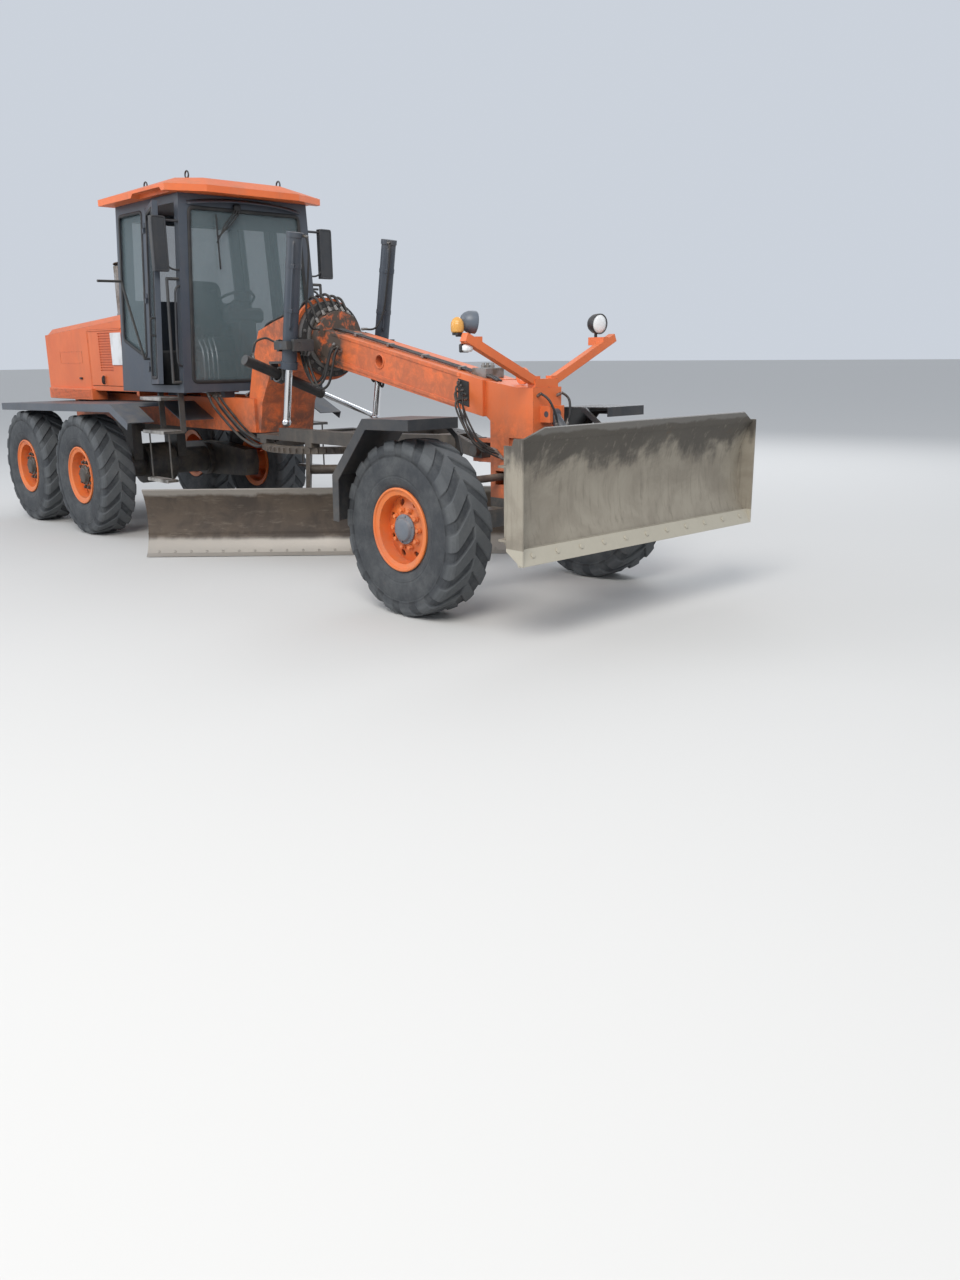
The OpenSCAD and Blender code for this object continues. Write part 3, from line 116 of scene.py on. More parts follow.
class Finish:
    """A material's node tree, with short calls for its nodes."""

    def __init__(self, name):
        self.material = bpy.data.materials.new(name)
        self.material.use_nodes = True
        self.tree = self.material.node_tree
        self.shader = self.tree.nodes["Principled BSDF"]
        self.place = self.tree.nodes.new("ShaderNodeTexCoord").outputs["Object"]

    def feed(self, target, value):
        """Links a Value or a socket to an input, or sets the input to a number or a colour."""
        if isinstance(value, Value):
            self.tree.links.new(value.socket, target)
        elif isinstance(value, bpy.types.NodeSocket):
            self.tree.links.new(value, target)
        elif isinstance(value, (tuple, list)) and len(value) == 3 and target.type == "RGBA":
            target.default_value = (*value, 1.0)
        else:
            target.default_value = value

    def node(self, kind, settings=None, inputs=None, output=0):
        """Adds any node: its settings first, then its inputs; gives back one of its outputs."""
        made = self.tree.nodes.new(kind)
        for key, value in (settings or {}).items():
            setattr(made, key, value)
        for key, value in (inputs or {}).items():
            self.feed(made.inputs[key], value)
        return made.outputs[output]

    def value(self, *words, **settings):
        """The same node as a Value."""
        return Value(self, self.node(*words, **settings))

    def noise(self, scale, detail=4.0, rough=0.55, stretch=(1.0, 1.0, 1.0), warp=0.0):
        """Noise from 0 to 1, scale waves a metre, pulled out along an axis where stretch is below 1."""
        at = self.node("ShaderNodeMapping", inputs={"Vector": self.place, "Scale": stretch})
        return Value(self, self.node("ShaderNodeTexNoise", inputs={
            "Vector": at, "Scale": scale, "Detail": detail, "Roughness": rough, "Distortion": warp}))

    def spots(self, scale, stretch=(1.0, 1.0, 1.0)):
        """Distance to the nearest of scattered points, in cells."""
        at = self.node("ShaderNodeMapping", inputs={"Vector": self.place, "Scale": stretch})
        return Value(self, self.node("ShaderNodeTexVoronoi", inputs={"Vector": at, "Scale": scale}))

    def along(self, axis):
        """The row frame's own coordinate, in metres."""
        node = self.tree.nodes.new("ShaderNodeSeparateXYZ")
        self.tree.links.new(self.place, node.inputs[0])
        return Value(self, node.outputs["XYZ".index(axis)])

    def facing_up(self):
        """1 where the surface looks at the sky, 0 where it is upright or hangs over."""
        normal = self.node("ShaderNodeNewGeometry", output=1)
        node = self.tree.nodes.new("ShaderNodeSeparateXYZ")
        self.tree.links.new(normal, node.inputs[0])
        return Value(self, node.outputs[2]).limited()

    def mix(self, share, first, second):
        """Colour first where share is 0, second where it is 1."""
        made = self.tree.nodes.new("ShaderNodeMix")
        made.data_type = "RGBA"
        self.feed(made.inputs[0], share)
        self.feed(made.inputs[6], first)
        self.feed(made.inputs[7], second)
        return made.outputs[2]

    def worn_edges(self, radius):
        """1 on sharp edges, 0 on flats: where a rounded normal and the true one part."""
        round_normal = self.node("ShaderNodeBevel", {"samples": 4}, {"Radius": radius})
        true_normal = self.node("ShaderNodeNewGeometry", output=1)
        likeness = self.tree.nodes.new("ShaderNodeVectorMath")
        likeness.operation = "DOT_PRODUCT"
        self.tree.links.new(round_normal, likeness.inputs[0])
        self.tree.links.new(true_normal, likeness.inputs[1])
        return (1.0 - Value(self, likeness.outputs["Value"])).above(0.02, 0.12)

    def surface(self, colour, roughness, bump=None, depth=0.001, rounding=0.0, **sockets):
        """Feeds the shader; bump is a Value in waves of the given depth, rounding an edge radius."""
        self.feed(self.shader.inputs["Base Color"], colour)
        self.feed(self.shader.inputs["Roughness"], roughness)
        normal = self.node("ShaderNodeBevel", {"samples": 4}, {"Radius": rounding}) if rounding else None
        if bump is not None:
            inputs = {"Height": bump, "Distance": depth}
            if normal is not None:
                inputs["Normal"] = normal
            normal = self.node("ShaderNodeBump", inputs=inputs)
        if normal is not None:
            self.tree.links.new(normal, self.shader.inputs["Normal"])
        for key, value in sockets.items():
            self.shader.inputs[key.replace("_", " ")].default_value = value
        return self.material


def coat(node, material):
    """Gives a CAD node its finish."""
    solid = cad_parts[node]
    solid.data.materials.clear()
    solid.data.materials.append(material)


# Paints: sprayed site enamel over welded steel, dulled by sun and dust, with grease in the streaks and bare
# metal on the worn edges. Chromed rods and wiped steel have finishes of their own.
dust_colour = (0.33, 0.27, 0.20)
mud_colour = (0.20, 0.165, 0.125)
grease_colour = (0.088, 0.066, 0.052)


def painted(name, colour, shade, dust=0.35, gloss=0.38, grime=0.5, chips=(0.10, 0.07, 0.05), rounding=0.004,
            soiled=None):
    """Site paint: patchy colour, dust on what faces up and low down, greasy streaks, worn edges.

    soiled turns the finish into a Value: the share of old grease and mud there.
    """
    paint = Finish(name)
    patches = paint.noise(1.7, 5.0, 0.6).above(0.35, 0.35)
    fine = paint.noise(38.0, 4.0, 0.65)
    streaks = paint.noise(5.0, 5.0, 0.6, stretch=(1.0, 1.0, 0.16)).above(0.52, 0.22)
    low = (1.0 - paint.along("Z").above(0.3, 1.5)) * 0.6
    lying = paint.facing_up() * 0.8 + low + 0.15
    dusty = (lying * paint.noise(7.0, 6.0, 0.7).above(0.30, 0.45) * dust).limited()
    edge = paint.worn_edges(0.006) * paint.noise(22.0, 3.0).above(0.5, 0.12)
    base = paint.mix(patches * 0.7, colour, shade)
    base = paint.mix(streaks * grime * 0.35, base, mud_colour)
    base = paint.mix(dusty, base, dust_colour)
    if soiled is not None:
        muck = (soiled(paint) * paint.noise(9.0, 6.0, 0.7, warp=0.4).above(0.28, 0.35)).limited()
        base = paint.mix(muck, base, grease_colour)
    base = paint.mix(edge * 0.8, base, chips)
    rough = fine * 0.18 + gloss - 0.05 + dusty * 0.5 + streaks * 0.1
    if soiled is not None:
        rough = rough + muck * 0.25
    return paint.surface(base, rough.limited(), fine, 0.0004, rounding)


orange_paint = painted("orange_paint", (0.80, 0.175, 0.045), (0.70, 0.135, 0.035))


def neck_muck(paint):
    """Grease behind and before the index ring, streaks down the beam's sides, mud low down."""
    x, z = paint.along("X"), paint.along("Z")
    behind_ring = x.above(-0.3, 0.5) * (1.0 - x.above(0.64, 0.03)) * 0.7
    before_ring = x.above(0.71, 0.03) * (1.0 - x.above(0.98, 0.26)) * 1.7
    beam_sides = x.above(1.05, 0.01) * (1.0 - x.above(2.66, 0.01)) * (1.0 - paint.facing_up().above(0.2, 0.2)) * 0.42
    return behind_ring + before_ring + beam_sides + (1.0 - z.above(1.15, 0.35)) * 0.5


frame_paint = painted("frame_paint", (0.80, 0.175, 0.045), (0.70, 0.135, 0.035), soiled=neck_muck)
hood_paint = painted("hood_paint", (0.74, 0.165, 0.048), (0.62, 0.125, 0.038), dust=0.3)
wheel_paint = painted("wheel_paint", (0.78, 0.19, 0.035), (0.60, 0.12, 0.03), dust=0.25, grime=0.9)
black_frame = painted("black_frame", (0.040, 0.042, 0.045), (0.060, 0.058, 0.055), dust=0.45, grime=0.8)
fender_black = painted("fender_black", (0.026, 0.029, 0.034), (0.040, 0.044, 0.05), dust=0.3, gloss=0.33)
deck_grey = painted("deck_grey", (0.085, 0.098, 0.118), (0.062, 0.072, 0.088), dust=0.3)
cab_paint = painted("cab_paint", (0.050, 0.062, 0.082), (0.065, 0.078, 0.098), dust=0.22, gloss=0.34, grime=0.3)
cylinder_blue = painted("cylinder_blue", (0.045, 0.058, 0.078), (0.06, 0.07, 0.085), dust=0.3)
cylinder_black = painted("cylinder_black", (0.018, 0.018, 0.020), (0.03, 0.03, 0.03), dust=0.25)
drawbar_black = painted("drawbar_black", (0.030, 0.029, 0.028), (0.045, 0.040, 0.035), dust=0.35, grime=1.0,
                        chips=(0.16, 0.11, 0.08), soiled=lambda paint: 0.55 * paint.noise(2.2, 3.0))
circle_steel = painted("circle_steel", (0.060, 0.048, 0.040), (0.040, 0.034, 0.030), dust=0.4, grime=1.0,
                       chips=(0.26, 0.20, 0.16), gloss=0.45)
engine_grey = painted("engine_grey", (0.07, 0.07, 0.068), (0.05, 0.045, 0.04), dust=0.3)

chrome = Finish("chrome_rod")
chrome_rod = chrome.surface((0.72, 0.73, 0.75), chrome.noise(60.0, 3.0) * 0.12 + 0.1, Metallic=1.0)
bare = Finish("bare_steel")
bare_steel = bare.surface(
    bare.mix(bare.noise(12.0, 5.0).above(0.4, 0.3), (0.30, 0.29, 0.28), (0.16, 0.13, 0.10)),
    bare.noise(30.0, 4.0) * 0.3 + 0.35, bare.noise(90.0, 3.0), 0.0003, 0.003, Metallic=0.7)


def pair(name):
    """Names of the right and the left one of two like nodes."""
    return f"{name}_right", f"{name}_left"


for finish, node_names in (
        (frame_paint, ("main_frame", "front_bolster")),
        (hood_paint, ("hood", *pair("hood_door"))),
        (orange_paint, ("cab_roof", "light_bar")),
        (black_frame, ("saddle", "front_axle", "tandem_axle", "radiator_grille", "cab_interior", "cab_steps",
                       "lean_bar", "tie_rod", "tie_rod_stud", "side_shift_yoke", "drawbar_swivel",
                       *pair("lean_bracket"), *pair("knuckle"), *pair("lift_gimbal"))),
        (deck_grey, ("rear_fenders",)),
        (engine_grey, ("powertrain",)),
        (cab_paint, ("cab_body", *pair("door"))),
        (fender_black, ("mirrors", "work_lamps", *pair("front_fender"))),
        (cylinder_blue, ("dozer_barrel", *pair("lift_barrel"))),
        (cylinder_black, ("side_shift_barrel",)),
        (chrome_rod, ("dozer_rod", "side_shift_rod", *pair("lift_rod"))),
        (drawbar_black, ("drawbar", "blade_carrier")),
        (circle_steel, ("turntable",)),
        (bare_steel, ("exhaust_stack",))):
    for node_name in node_names:
        coat(node_name, finish)

rubber_black = Finish("seal_rubber")
seal_rubber = rubber_black.surface(
    rubber_black.mix(rubber_black.noise(9.0, 5.0).above(0.4, 0.4) * 0.5, (0.018, 0.018, 0.019), (0.06, 0.056, 0.05)),
    0.6, rubber_black.noise(80.0, 3.0), 0.0003)


# Window glass: thin safety panes, slightly tinted, with a film of dust. The fixed ones sit in the cab's frame in
# rubber seals, and each door carries one of its own.
pane = Finish("window_glass")
pane_film = pane.noise(6.0, 5.0).above(0.35, 0.4) * 0.06 + 0.02
window_glass = pane.surface((0.16, 0.21, 0.225), pane_film, IOR=1.45)
window_glass.node_tree.nodes["Principled BSDF"].inputs["Alpha"].default_value = 0.42
coat("cab_glass", window_glass)


# Shapes: every new piece is a set of points worked out as whole arrays and laid into a mesh by lay. Most are
# grids: a profile turned about an axis, or a section carried along a path.
def unit(v):
    """Vectors of length one along v."""
    v = np.asarray(v, float)
    return v / np.linalg.norm(v, axis=-1, keepdims=True)


def grid_faces(rows, columns, around, along):
    """Corner numbers of the quads of a rows by columns grid; around closes its columns, along its rows."""
    r = np.arange(rows if along else rows - 1)[:, None]
    c = np.arange(columns if around else columns - 1)[None, :]
    here, right = r * columns + c, r * columns + (c + 1) % columns
    up, up_right = ((r + 1) % rows) * columns + c, ((r + 1) % rows) * columns + (c + 1) % columns
    return np.stack([here, right, up_right, up], axis=-1).reshape(-1, 4)


def lay(name, points, faces, finish, body, smooth=False, slot=None):
    """Makes one mesh of points and faces, closes its doubles, turns its faces outwards and lets it ride."""
    mesh = bpy.data.meshes.new(name)
    mesh.from_pydata(np.asarray(points, float).reshape(-1, 3).tolist(), [], [list(f) for f in faces])
    work = bmesh.new()
    work.from_mesh(mesh)
    bmesh.ops.remove_doubles(work, verts=work.verts, dist=1e-6)
    bmesh.ops.recalc_face_normals(work, faces=work.faces)
    work.to_mesh(mesh)
    work.free()
    mesh.polygons.foreach_set("use_smooth", np.full(len(mesh.polygons), smooth))
    mesh.materials.append(finish)
    piece = bpy.data.objects.new(name, mesh)
    bpy.context.scene.collection.objects.link(piece)
    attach(piece, body)
    return piece


def across(axis):
    """Two unit vectors square to an axis and to each other."""
    axis = unit(axis)
    first = unit(np.cross(axis, [0.0, 0.0, 1.0] if abs(axis[2]) < 0.9 else [1.0, 0.0, 0.0]))
    return first, np.cross(axis, first)


def turned(centre, axis, profile, steps=48, wave=None):
    """A lathe shape: each row of profile is (distance along axis, radius); wave scales the radius by angle."""
    axis = unit(axis)
    first, second = across(axis)
    angle = np.linspace(0, 2 * np.pi, steps, endpoint=False)
    ring = np.cos(angle)[:, None] * first + np.sin(angle)[:, None] * second
    if wave is not None:
        ring = ring * wave(angle)[:, None]
    profile = np.asarray(profile, float)
    points = np.asarray(centre) + profile[:, :1, None] * axis + profile[:, 1:, None] * ring[None]
    return points.reshape(-1, 3), grid_faces(len(profile), steps, True, False)


def joined(shapes):
    """Several (points, faces) as one."""
    counts = np.cumsum([0] + [len(s[0]) for s in shapes])
    faces = []
    for (points, shape_faces), start in zip(shapes, counts):
        faces += [[int(i) + int(start) for i in f] for f in shape_faces]
    return np.concatenate([np.asarray(s[0]).reshape(-1, 3) for s in shapes]), faces


def repeated(shape, places, frames):
    """One shape set at many places; frames holds for each the directions of the shape's own x, y and z."""
    points, faces = shape
    points, places, frames = np.asarray(points), np.asarray(places, float), np.asarray(frames, float)
    if frames.ndim == 2:
        frames = np.broadcast_to(frames, (len(places), 3, 3))
    moved = places[:, None, :] + np.einsum("pk,nkj->npj", points, frames)
    shifts = np.arange(len(places)) * len(points)
    return moved.reshape(-1, 3), [[int(i) + int(s) for i in f] for s in shifts for f in faces]


def bolt(radius, height, washer=True):
    """A hexagon head on a washer, standing along z on the origin: a lathe shape whose radius follows a hexagon."""
    hexagon = lambda angle: np.cos(np.pi / 6) / np.cos((angle + np.pi / 6) % (np.pi / 3) - np.pi / 6)
    head = turned((0, 0, 0), (0, 0, 1), [
        (0, radius), (height * 0.85, radius), (height, radius * 0.86), (height, 0)], 12, hexagon)
    disc = turned((0, 0, 0), (0, 0, 1), [
        (-0.001, radius * 1.35), (height * 0.18, radius * 1.35), (height * 0.18, radius * 0.9)], 12)
    return joined([head, disc]) if washer else head


def circle(count, phase, first, second):
    """Unit directions cos(a) first + sin(a) second at evenly spaced angles a, the first of them at phase."""
    angle = np.arange(count)[:, None] * 2 * np.pi / count + phase
    return np.cos(angle) * np.asarray(first, float) + np.sin(angle) * np.asarray(second, float)


def facing(normal):
    """A frame whose z points along normal."""
    first, second = across(normal)
    return np.stack([first, second, unit(normal)])


def block(low, high, chamfer=0.004):
    """A box with chamfered edges: each corner is three points, set in by the chamfer along two of the axes."""
    low, high = np.asarray(low, float), np.asarray(high, float)
    corner = np.array([[x, y, z] for x in (0, 1) for y in (0, 1) for z in (0, 1)], float)
    points = (low + corner * (high - low))[:, None, :] + (1 - 2 * corner)[:, None, :] * chamfer * (
        1 - np.eye(3))[None]
    number = lambda x, y, z, k: ((x * 2 + y) * 2 + z) * 3 + k
    faces = [[number(*c, 0), number(*c, 1), number(*c, 2)] for c in corner.astype(int)]
    for k in range(3):
        i, j = (k + 1) % 3, (k + 2) % 3
        for end in (0, 1):
            loop = []
            for a, b in ((0, 0), (1, 0), (1, 1), (0, 1)):
                c = [0, 0, 0]
                c[k], c[i], c[j] = end, a, b
                loop.append(number(*c, k))
            faces.append(loop)
        for a, b in ((0, 0), (1, 0), (1, 1), (0, 1)):
            c0, c1 = [0, 0, 0], [0, 0, 0]
            c0[i], c0[j], c1[i], c1[j] = a, b, a, b
            c1[k] = 1
            faces.append([number(*c0, i), number(*c1, i), number(*c1, j), number(*c0, j)])
    return points.reshape(-1, 3), faces


def side_block(side, low, high, chamfer=0.004):
    """A block given for the left side, y above 0, and mirrored to the right one where side is -1."""
    (x0, y0, z0), (x1, y1, z1) = low, high
    y_low, y_high = sorted((side * y0, side * y1))
    return block((x0, y_low, z0), (x1, y_high, z1), chamfer)


def smooth_path(knots, samples=10):
    """A Catmull-Rom curve through the knots, as whole arrays."""
    knots = np.asarray(knots, float)
    padded = np.vstack([2 * knots[0] - knots[1], knots, 2 * knots[-1] - knots[-2]])
    t = np.linspace(0, 1, samples, endpoint=False)[None, :, None]
    a, b, c, d = (padded[i:len(padded) - 3 + i, None, :] for i in range(4))
    curve = 0.5 * (2 * b + (c - a) * t + (2 * a - 5 * b + 4 * c - d) * t ** 2 + (3 * b - a - 3 * c + d) * t ** 3)
    return np.vstack([curve.reshape(-1, 3), knots[-1:]])


def pipe(path, radius, sides=12):
    """A round section carried along a path; its frame turns on the direction least like any of its tangents."""
    path = np.asarray(path, float)
    tangent = unit(np.gradient(path, axis=0))
    tries = unit(np.array([[x, y, z] for x in (0, 1, 2) for y in (-2, -1, 0, 1, 2) for z in (-2, -1, 0, 1, 2)
                           if (x, y, z) != (0, 0, 0)]))
    steady = tries[np.argmin(np.abs(tangent @ tries.T).max(axis=0))]
    first = unit(np.cross(tangent, steady))
    second = np.cross(tangent, first)
    angle = np.linspace(0, 2 * np.pi, sides, endpoint=False)
    radii = np.broadcast_to(np.asarray(radius, float), len(path))
    ring = np.cos(angle)[None, :, None] * first[:, None] + np.sin(angle)[None, :, None] * second[:, None]
    points = path[:, None] + radii[:, None, None] * ring
    points = np.concatenate([np.broadcast_to(path[:1, None], (1, sides, 3)), points,
                             np.broadcast_to(path[-1:, None], (1, sides, 3))])
    return points.reshape(-1, 3), grid_faces(len(path) + 2, sides, True, False)


# Front beam: a welded box with rolled edges along its sides, open at the nose end where the hoses come out, and
# with a ringed hole through its middle. Two steel pipes run along its top, held down by saddle clips, to a
# machined valve block behind the nose.
beam_ends = np.array([[0.90, 2.060], [2.95, 1.640]])
beam_slope = (beam_ends[1, 1] - beam_ends[0, 1]) / (beam_ends[1, 0] - beam_ends[0, 0])
beam_top_at = lambda x: beam_ends[0, 1] + beam_slope * (np.asarray(x) - beam_ends[0, 0])


def on_beam(shape, shift=0.0):
    """A shape drawn about z = 0, raised to the beam's sloping top plus shift: z += top(x) + shift."""
    points = np.array(shape[0])
    points[:, 2] += beam_top_at(points[:, 0]) + shift
    return points, shape[1]


for side_name, side in (("right", -1), ("left", 1)):
    strip = block((1.02, side * 0.1835 - 0.0035, 0.0), (2.70, side * 0.1835 + 0.0035, 0.030), 0.002)
    for low_name, shift in (("top", -0.032), ("low", -0.262)):
        lay(f"beam_flange_{low_name}_{side_name}", *on_beam(strip, shift), frame_paint, "chassis",
            slot="orange_paint")
    mouth = block((2.672, side * 0.1825 - 0.0025, -0.235), (2.80, side * 0.1825 + 0.0025, -0.045), 0.002)
    lay(f"beam_mouth_{side_name}", *on_beam(mouth), seal_rubber, "chassis", slot="black_trim")
for k, y in enumerate((-0.085, -0.050)):
    along_x = np.array([0.93, 0.99, 1.10, 1.8, 2.5, 2.80, 2.93, 3.02])
    rise = np.array([0.004, 0.014, 0.017, 0.017, 0.017, 0.017, 0.020, 0.006])
    lay(f"beam_pipe_{k}", *pipe(smooth_path(np.column_stack([
        along_x, np.full(8, y), beam_top_at(along_x) + rise]), 6), 0.010, 10), fender_black, "chassis", True,
        "cylinder_black")
clip_x = np.array([1.25, 1.70, 2.15, 2.60])
clip_frame = np.array([unit([1, 0, beam_slope]), [0, 1, 0], unit([-beam_slope, 0, 1])])
lay("beam_clips", *repeated(block((-0.014, -0.105, 0.0), (0.014, -0.030, 0.030), 0.004),
                            np.column_stack([clip_x, np.zeros(4), beam_top_at(clip_x)]), clip_frame),
    bare_steel, "chassis", slot="steel")
lay("beam_hole_ring", *joined([turned((1.690, side * 0.1795, 1.780), (0, side, 0), [
    (0.0, 0.050), (0.006, 0.050), (0.007, 0.053), (0.007, 0.062), (0.005, 0.064), (0.0, 0.064)], 48)
    for side in (-1, 1)]), frame_paint, "chassis", True, "orange_paint")
valve_top = beam_top_at(2.74) + 0.045
valve_block = joined([block((2.74, -0.10, beam_top_at(2.74) - 0.035), (2.90, 0.10, valve_top), 0.006)] + [
    turned((2.77 + 0.05 * k, 0.0, beam_top_at(2.74) + 0.044), (0, 0, 1), [
        (0.0, 0.018), (0.020, 0.018), (0.024, 0.013), (0.036, 0.012), (0.036, 0.0)], 16) for k in range(3)])
lay("beam_valve", *valve_block, bare_steel, "chassis", slot="steel")


# Saddle: a cast ring clamped round the neck, locked to the index ring by a pin. Bolts stand all round its front
# face, round the machined bearing ring, and round the neck's flange behind it.
bearing_grey = painted("bearing_grey", (0.17, 0.165, 0.16), (0.11, 0.10, 0.095), dust=0.3, grime=0.9, gloss=0.42)
neck_z = 1.975
bolt_ring = circle(20, 0.08, (0, 1, 0), (0, 0, 1))
bolt_ring = bolt_ring[(np.abs(bolt_ring[:, 1]) < 0.78) | (bolt_ring[:, 2] > 0.2)]
lay("saddle_bolts", *repeated(bolt(0.0135, 0.014), np.array([0.770, 0, neck_z]) + bolt_ring * 0.302,
                              facing((1, 0, 0))), bearing_grey, "chassis", slot="steel")
lay("bearing_ring", *turned((0.770, 0, neck_z), (1, 0, 0), [
    (-0.002, 0.2415), (0.020, 0.2415), (0.024, 0.245), (0.024, 0.272), (0.020, 0.276), (-0.002, 0.276)], 96),
    bearing_grey, "chassis", True, "steel")
rear_ring = circle(24, 0.0, (0, 1, 0), (0, 0, 1))
rear_ring = rear_ring[rear_ring[:, 2] > -0.35]
lay("neck_bolts", *repeated(bolt(0.012, 0.013), np.array([0.660, 0, neck_z]) + rear_ring * 0.275,
                            facing((-1, 0, 0))), bearing_grey, "chassis", slot="steel")


# Lift cylinders: honed tubes with a screwed gland and a welded head. A bent steel tube, held by two clamp bands,
# carries the oil to the far end.
cylinder_axis = unit([0.17, 0.0, 0.91])
clamp_places = (0.30, 0.66)
for side_name, side in (("right", -1), ("left", 1)):
    pivot = np.array([0.84, side * 0.5, 1.92])
    off = unit(np.array([0.80, -0.60, 0.0]) - cylinder_axis * (0.80 * cylinder_axis[0]))
    at = lambda along, out: pivot + cylinder_axis * along + off * out
    lay(f"lift_tube_{side_name}", *pipe(smooth_path([
        at(0.150, 0.060), at(0.150, 0.080), at(0.165, 0.094), at(0.20, 0.098), at(0.50, 0.098), at(0.80, 0.098),
        at(0.835, 0.094), at(0.850, 0.080), at(0.850, 0.060)], 6), 0.009, 10), cylinder_blue,
        f"lift_barrel_{side_name}", True, "cylinder_blue")
    bands = [turned(at(along, 0), cylinder_axis, [(-0.018, 0.064), (-0.018, 0.0685), (0.018, 0.0685), (0.018, 0.064)],
                    40) for along in clamp_places]
    blocks = [repeated(block((-0.014, -0.016, -0.018), (0.014, 0.030, 0.018), 0.003), [at(along, 0.078)],
                       np.stack([np.cross(off, cylinder_axis), off, cylinder_axis])) for along in clamp_places]
    head = turned(at(0.890, 0), cylinder_axis, [(0.0, 0.066), (0.0, 0.0705), (0.026, 0.0705), (0.031, 0.066),
                                                (0.031, 0.050), (0.034, 0.046), (0.034, 0.0)], 40)
    lay(f"lift_bands_{side_name}", *joined(bands + blocks + [head]), cylinder_blue, f"lift_barrel_{side_name}",
        slot="cylinder_blue")


# Main blade: a rolled moldboard in worn steel, brown with dried soil, bright where the soil slides along its
# top and on the bolted cutting edge. Plough bolts hold the edge, their heads flush in countersunk holes.
mold = Finish("moldboard_steel")
mold_up = mold.along("Z")
soil = mold.noise(3.0, 6.0, 0.65, warp=0.5)
scuffs = mold.noise(16.0, 5.0, 0.7, stretch=(0.25, 0.25, 1.0))
mold_colour = mold.mix(soil.above(0.35, 0.3), (0.115, 0.088, 0.066), (0.070, 0.055, 0.045))
mold_colour = mold.mix(scuffs.above(0.52, 0.2) * 0.6, mold_colour, (0.20, 0.165, 0.13))
worn_top = (mold_up + (soil - 0.5) * 0.10).above(0.555, 0.04)
worn_low = 1.0 - (mold_up + (soil - 0.5) * 0.06).above(0.135, 0.05)
worn = (worn_top + worn_low).limited()
mold_colour = mold.mix(worn * 0.75, mold_colour, (0.40, 0.37, 0.33))
moldboard_steel = mold.surface(mold_colour, 0.62 - worn * 0.25 + scuffs * 0.15, scuffs, 0.0008, 0.003, Metallic=0.25)
coat("moldboard", moldboard_steel)
blade_turn = math.radians(43.0)
blade_ahead = np.array([math.cos(blade_turn), -math.sin(blade_turn), 0.0])
blade_along = np.array([math.sin(blade_turn), math.cos(blade_turn), 0.0])
circle_middle = np.array([0.74, 0.0, 0.0])
edge_bolt = turned((0, 0, 0), (0, 0, 1), [(-0.004, 0.0), (-0.004, 0.013), (0.0015, 0.013), (0.002, 0.009),
                                          (0.002, 0.0)], 16)
edge_slope = unit(blade_ahead * 0.68 + np.array([0, 0, 0.73]))
edge_steps = np.arange(-1.72, 1.73, 0.1525)[:, None]
edge_places = circle_middle + blade_ahead * 0.044 + [0, 0, 0.0465] + edge_steps * blade_along
lay("moldboard_bolts", *repeated(edge_bolt, edge_places, facing(edge_slope)), moldboard_steel, "moldboard", True,
    "blade_steel")


# Dozer blade: a curved steel face, dusty beige where it pushes and dark with streaks near the top, with a
# bolted cutting edge in paler steel, flat end plates and a folded visor.
blade_face = Finish("dozer_face")
height_up = blade_face.along("Z")
blotch = blade_face.noise(2.6, 6.0, 0.65, warp=0.6)
scratches = blade_face.noise(26.0, 5.0, 0.7, stretch=(1.0, 1.0, 0.10))
drips = blade_face.noise(9.0, 6.0, 0.7, stretch=(1.0, 1.0, 0.22))
dark_band = (height_up + (blotch - 0.5) * 0.42 + (drips - 0.5) * 0.35).above(1.08, 0.16)
bare_band = (height_up + (blotch - 0.5) * 0.1).above(1.345, 0.02)
face_colour = blade_face.mix(blotch.above(0.35, 0.35), (0.34, 0.305, 0.245), (0.25, 0.22, 0.175))
face_colour = blade_face.mix(scratches.above(0.50, 0.25) * 0.55, face_colour, (0.17, 0.145, 0.115))
face_colour = blade_face.mix(dark_band * 0.85, face_colour, (0.065, 0.058, 0.05))
face_colour = blade_face.mix(dark_band * scratches.above(0.56, 0.16) * 0.6, face_colour, (0.27, 0.24, 0.20))
face_colour = blade_face.mix((1.0 - height_up.above(0.655, 0.006)) * 0.8, face_colour, (0.50, 0.465, 0.38))
face_colour = blade_face.mix(bare_band * 0.7, face_colour, (0.20, 0.19, 0.175))
rust = blade_face.noise(3.4, 6.0, 0.7).above(0.60, 0.12) * blade_face.noise(30.0, 3.0).above(0.42, 0.3)
face_colour = blade_face.mix(rust * 0.5, face_colour, (0.16, 0.075, 0.03))
dozer_finish = blade_face.surface(face_colour, scratches * 0.25 + 0.5 - bare_band * 0.12, scratches, 0.0012, 0.003,
                                  Metallic=0.15)
coat("dozer", dozer_finish)
edge_holes = np.linspace((4.4085, -1.13, 0.615), (4.4085, 1.13, 0.615), 11)
lay("dozer_edge_bolts", *repeated(bolt(0.019, 0.009, False), edge_holes, facing((0.93, 0, 0.36))),
    dozer_finish, "dozer", slot="dozer_steel")


# Tyres: 14.00-20 site tyres, black rubber gone grey with dust, with shade painted dark into the grooves between the
# bars. Thick bars run from each shoulder to just over the middle, leaning with the way of rolling, and the two rows
# stand half a pitch apart.
# The surface is r(angle, across): a section profile plus bars, on columns sheared to the bars' lean.
front_x = 3.1
tandem_x = front_x - 6.07
mid_x, rear_x = tandem_x + 0.745, tandem_x - 0.745
tyre_r = 0.63
tyre_half = 0.187
bars = 18
bar_height = 0.0325
bar_share = 0.60
bar_lean = 0.95


